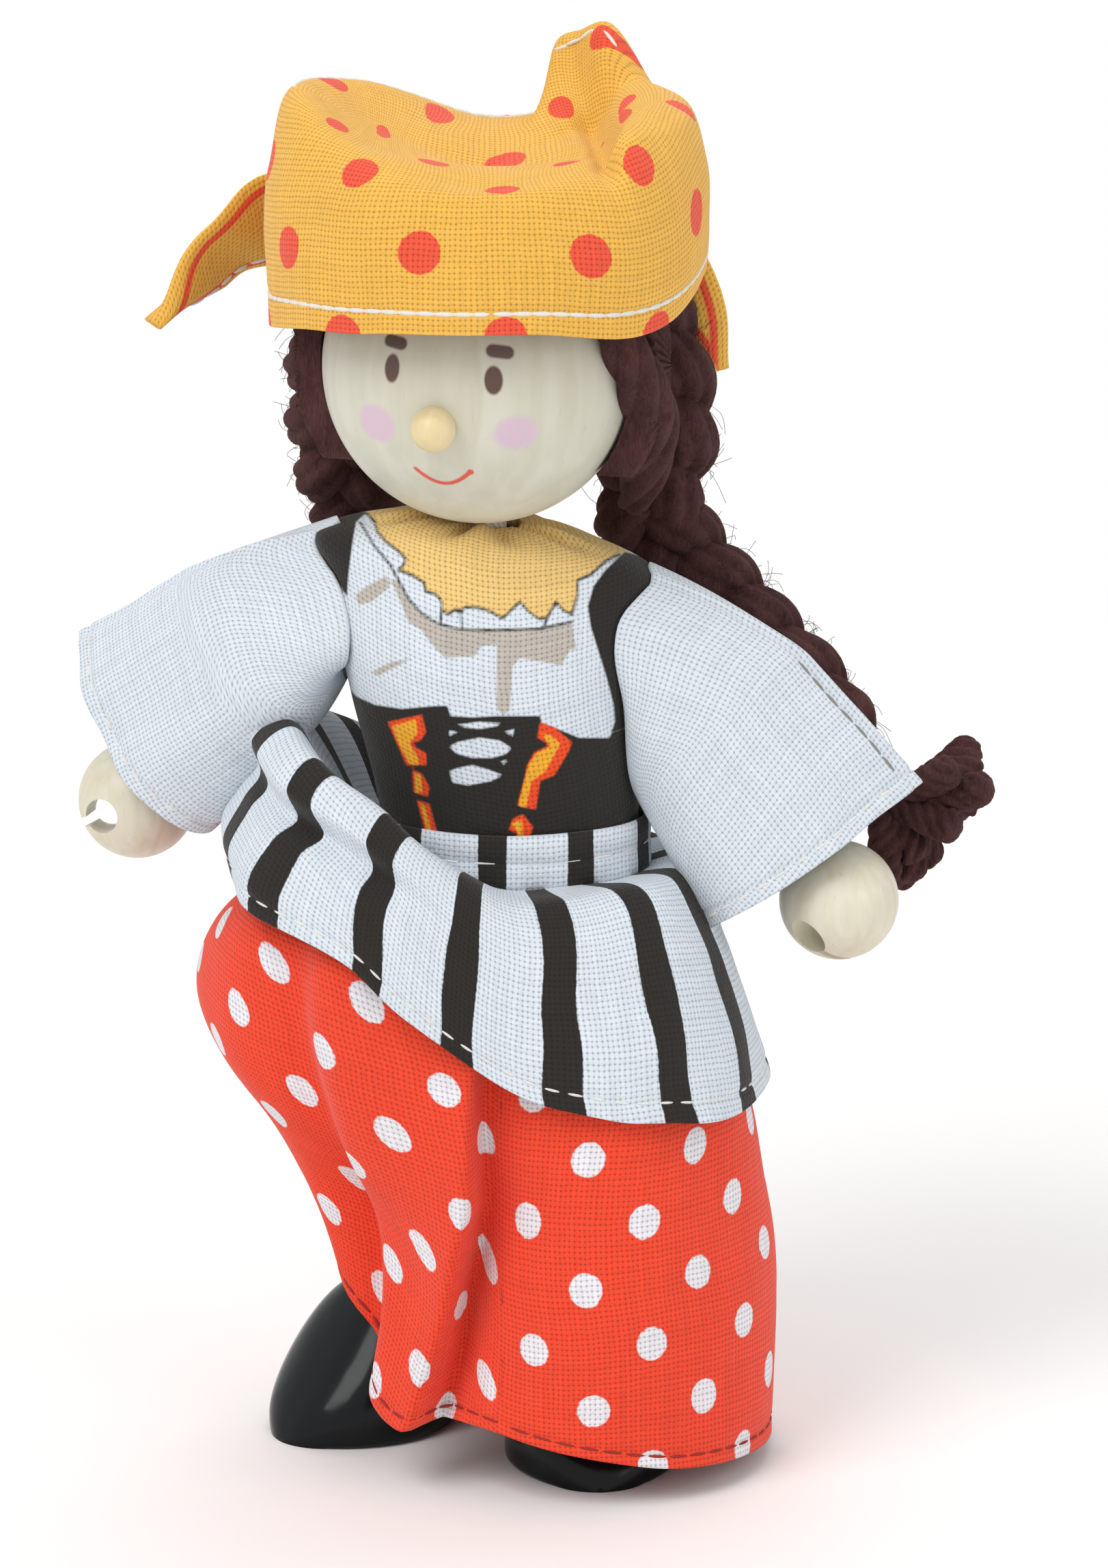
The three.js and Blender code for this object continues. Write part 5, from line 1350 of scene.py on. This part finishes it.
lacquer, tree, shader = new_material("black_gloss_lacquer")
here = object_place(tree)
smears = noise_at(tree, here, 0.5 / MM, 3.0)
worn = remap(tree, smears, To_Min=0.1, To_Max=0.2)
tree.links.new(worn, shader.inputs["Roughness"])
set_surface(shader, Base_Color=hex_colour("#0F1214"), Specular_IOR_Level=0.12, Coat_Weight=0.12,
            Coat_Roughness=0.2)
waves = noise_at(tree, here, 0.22 / MM, 2.0)
bumps = add_bumps(tree, shader, 0.35, 0.25, waves)
tree.links.new(bumps, shader.inputs["Coat Normal"])

for side in ("right", "left"):
    heading = math.radians(HEADINGS[side])
    t = (0.5 - 0.5 * np.cos(math.pi * np.arange(1, SHOE_STEPS) / SHOE_STEPS))[:, None]
    angle = (2 * math.pi * np.arange(SHOE_STEPS) / SHOE_STEPS)[None, :]
    half_width = SHOE_WIDTH / 2 * np.sin(math.pi * t ** 0.88) ** 0.62
    rise = 0.62 + 0.38 * (0.5 - 0.5 * np.cos(math.pi * np.minimum(1, t * 1.45)))
    height = SHOE_HEIGHT * rise * np.sin(math.pi * np.clip(t, 0.004, 0.996)) ** 0.55
    up = np.sin(angle)
    across = half_width * np.sign(np.cos(angle)) * np.abs(np.cos(angle)) ** 0.8 * np.where(up < -0.5, 0.9, 1)
    sole_round = np.minimum(1.5, height * 0.4)
    z = np.where(up > 0, sole_round + (height - sole_round) * np.abs(up) ** 0.95,
                 sole_round * (1 - np.abs(up) ** 0.45))
    along = np.broadcast_to((t - 0.5) * SHOE_LENGTH, z.shape)
    middle = ANKLES[side] + Vector((math.sin(heading), -math.cos(heading), 0)) * 1.2
    x = middle.x + across * math.cos(heading) - along * math.sin(heading)
    y = middle.y + across * math.sin(heading) + along * math.cos(heading)
    shoe = mesh_piece(f"{side}_lacquered_shoe", np.stack([x, y, np.maximum(z, 0) - SOLE_FLAT], axis=-1),
                      tube_faces(SHOE_STEPS - 1, SHOE_STEPS), lacquer)
    bpy.ops.object.select_all(action="DESELECT")
    bpy.ops.mesh.primitive_cube_add(size=0.02, location=place((middle.x, middle.y, -10)))
    cut_by(shoe, bpy.context.object)
    cut_by(shoe, turned_ball("cutter", ANKLES[side], WRAP_RADIUS + BEND_GAP, 48))
    bpy.ops.object.select_all(action="DESELECT")
    bpy.ops.mesh.primitive_cone_add(vertices=64, radius1=(WRAP_RADIUS + BEND_GAP) * MM, radius2=7.4 * MM,
                                    depth=4 * MM, location=place(ANKLES[side] + Vector((0, 0, 2))))
    cut_by(shoe, bpy.context.object)
    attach(shoe, f"{side}_foot")
    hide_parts(f"{side}_shoe")


# Hands: turned and sanded wooden balls, bored across for a grip with a saw cut into the bore, and hollowed at
# the wrist for the end of the wound wire.
GRIPS = {"right": (Vector((-0.1, -1, 0.15)), Vector((-2.1, 0, -0.9))),
         "left": (Vector((0.75, 0.6, 0)), Vector((1.2, 0, -1.9)))}
GRIP_RADIUS, SLOT_WIDTH = 1.25, 0.7
hand_wood = turned_wood("cream_turned_wood", "#DAD5C3", "#CFC7AE", 0.8)[0]
for side in ("right", "left"):
    reach = ARM_DIRECTIONS[side]
    wrist = SHOULDERS[side] + reach * (UPPER_ARM + FOREARM - HAND_RADIUS)
    middle = wrist + reach * HAND_RADIUS * 0.95
    hand = turned_ball(f"{side}_turned_hand", middle, HAND_RADIUS, 128)
    hand.data.materials.append(hand_wood)
    along, aside = GRIPS[side]
    along = along.normalized()
    grip = middle + aside
    drill(hand, grip - along * 12, grip + along * 12, GRIP_RADIUS)
    out = (aside - along * aside.dot(along)).normalized()
    bpy.ops.object.select_all(action="DESELECT")
    bpy.ops.mesh.primitive_cube_add(size=1, location=place(grip + out * HAND_RADIUS))
    saw = bpy.context.object
    saw.dimensions = (SLOT_WIDTH * MM, 2 * HAND_RADIUS * MM, 3 * HAND_RADIUS * MM)
    saw.rotation_euler = Matrix((along.cross(-out), out, along)).transposed().to_euler()
    cut_by(hand, saw)
    cut_by(hand, turned_ball("cutter", wrist, WRAP_RADIUS + BEND_GAP, 48))
    mouth = wrist - reach * HAND_RADIUS * 0.6
    bpy.ops.object.select_all(action="DESELECT")
    bpy.ops.mesh.primitive_cone_add(vertices=64, radius1=HAND_RADIUS * 0.9 * MM,
                                    radius2=(WRAP_RADIUS + BEND_GAP) * MM,
                                    depth=HAND_RADIUS * 1.2 * MM, location=place(mouth),
                                    rotation=reach.to_track_quat("Z", "X").to_euler())
    cut_by(hand, bpy.context.object)
    apply_modifier(hand, "BEVEL", width=0.12 * MM, segments=3, limit_method="ANGLE",
                   angle_limit=math.radians(40))
    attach(hand, f"{side}_hand")
    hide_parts(f"{side}_hand")


# Limbs, neck and torso core keep the solids' shapes: soft wire wound with off-white thread.
wound, tree, shader = new_material("wound_cotton_thread")
here = object_place(tree)
turns = node(tree, "ShaderNodeTexWave", {"wave_type": "BANDS", "bands_direction": "DIAGONAL"}, Vector=here,
             Scale=0.9 / MM, Distortion=1.5, Detail=1.0).outputs["Fac"]
# Painted shade: the off-white thread is coloured darker in the grooves between its wound turns, by the same
# bands that raise its bumps.
colour_between(tree, shader, turns, "#BDB5A4", "#E4DED0")
set_surface(shader, Roughness=0.85)
add_bumps(tree, shader, 0.6, 0.1, turns)

soft_wire, tree, shader = new_material("annealed_steel_wire")
here = object_place(tree)
stained = noise_at(tree, here, 1 / MM, 3.0)
colour_between(tree, shader, stained, "#6E6B68", "#9A9792")
set_surface(shader, Metallic=1.0, Roughness=0.42)
for name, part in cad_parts.items():
    if name.endswith(("_wrap", "_knuckle", "_core")):
        part.data.materials.clear()
        part.data.materials.append(wound)
    elif name.endswith("_wire"):
        part.data.materials.clear()
        part.data.materials.append(soft_wire)
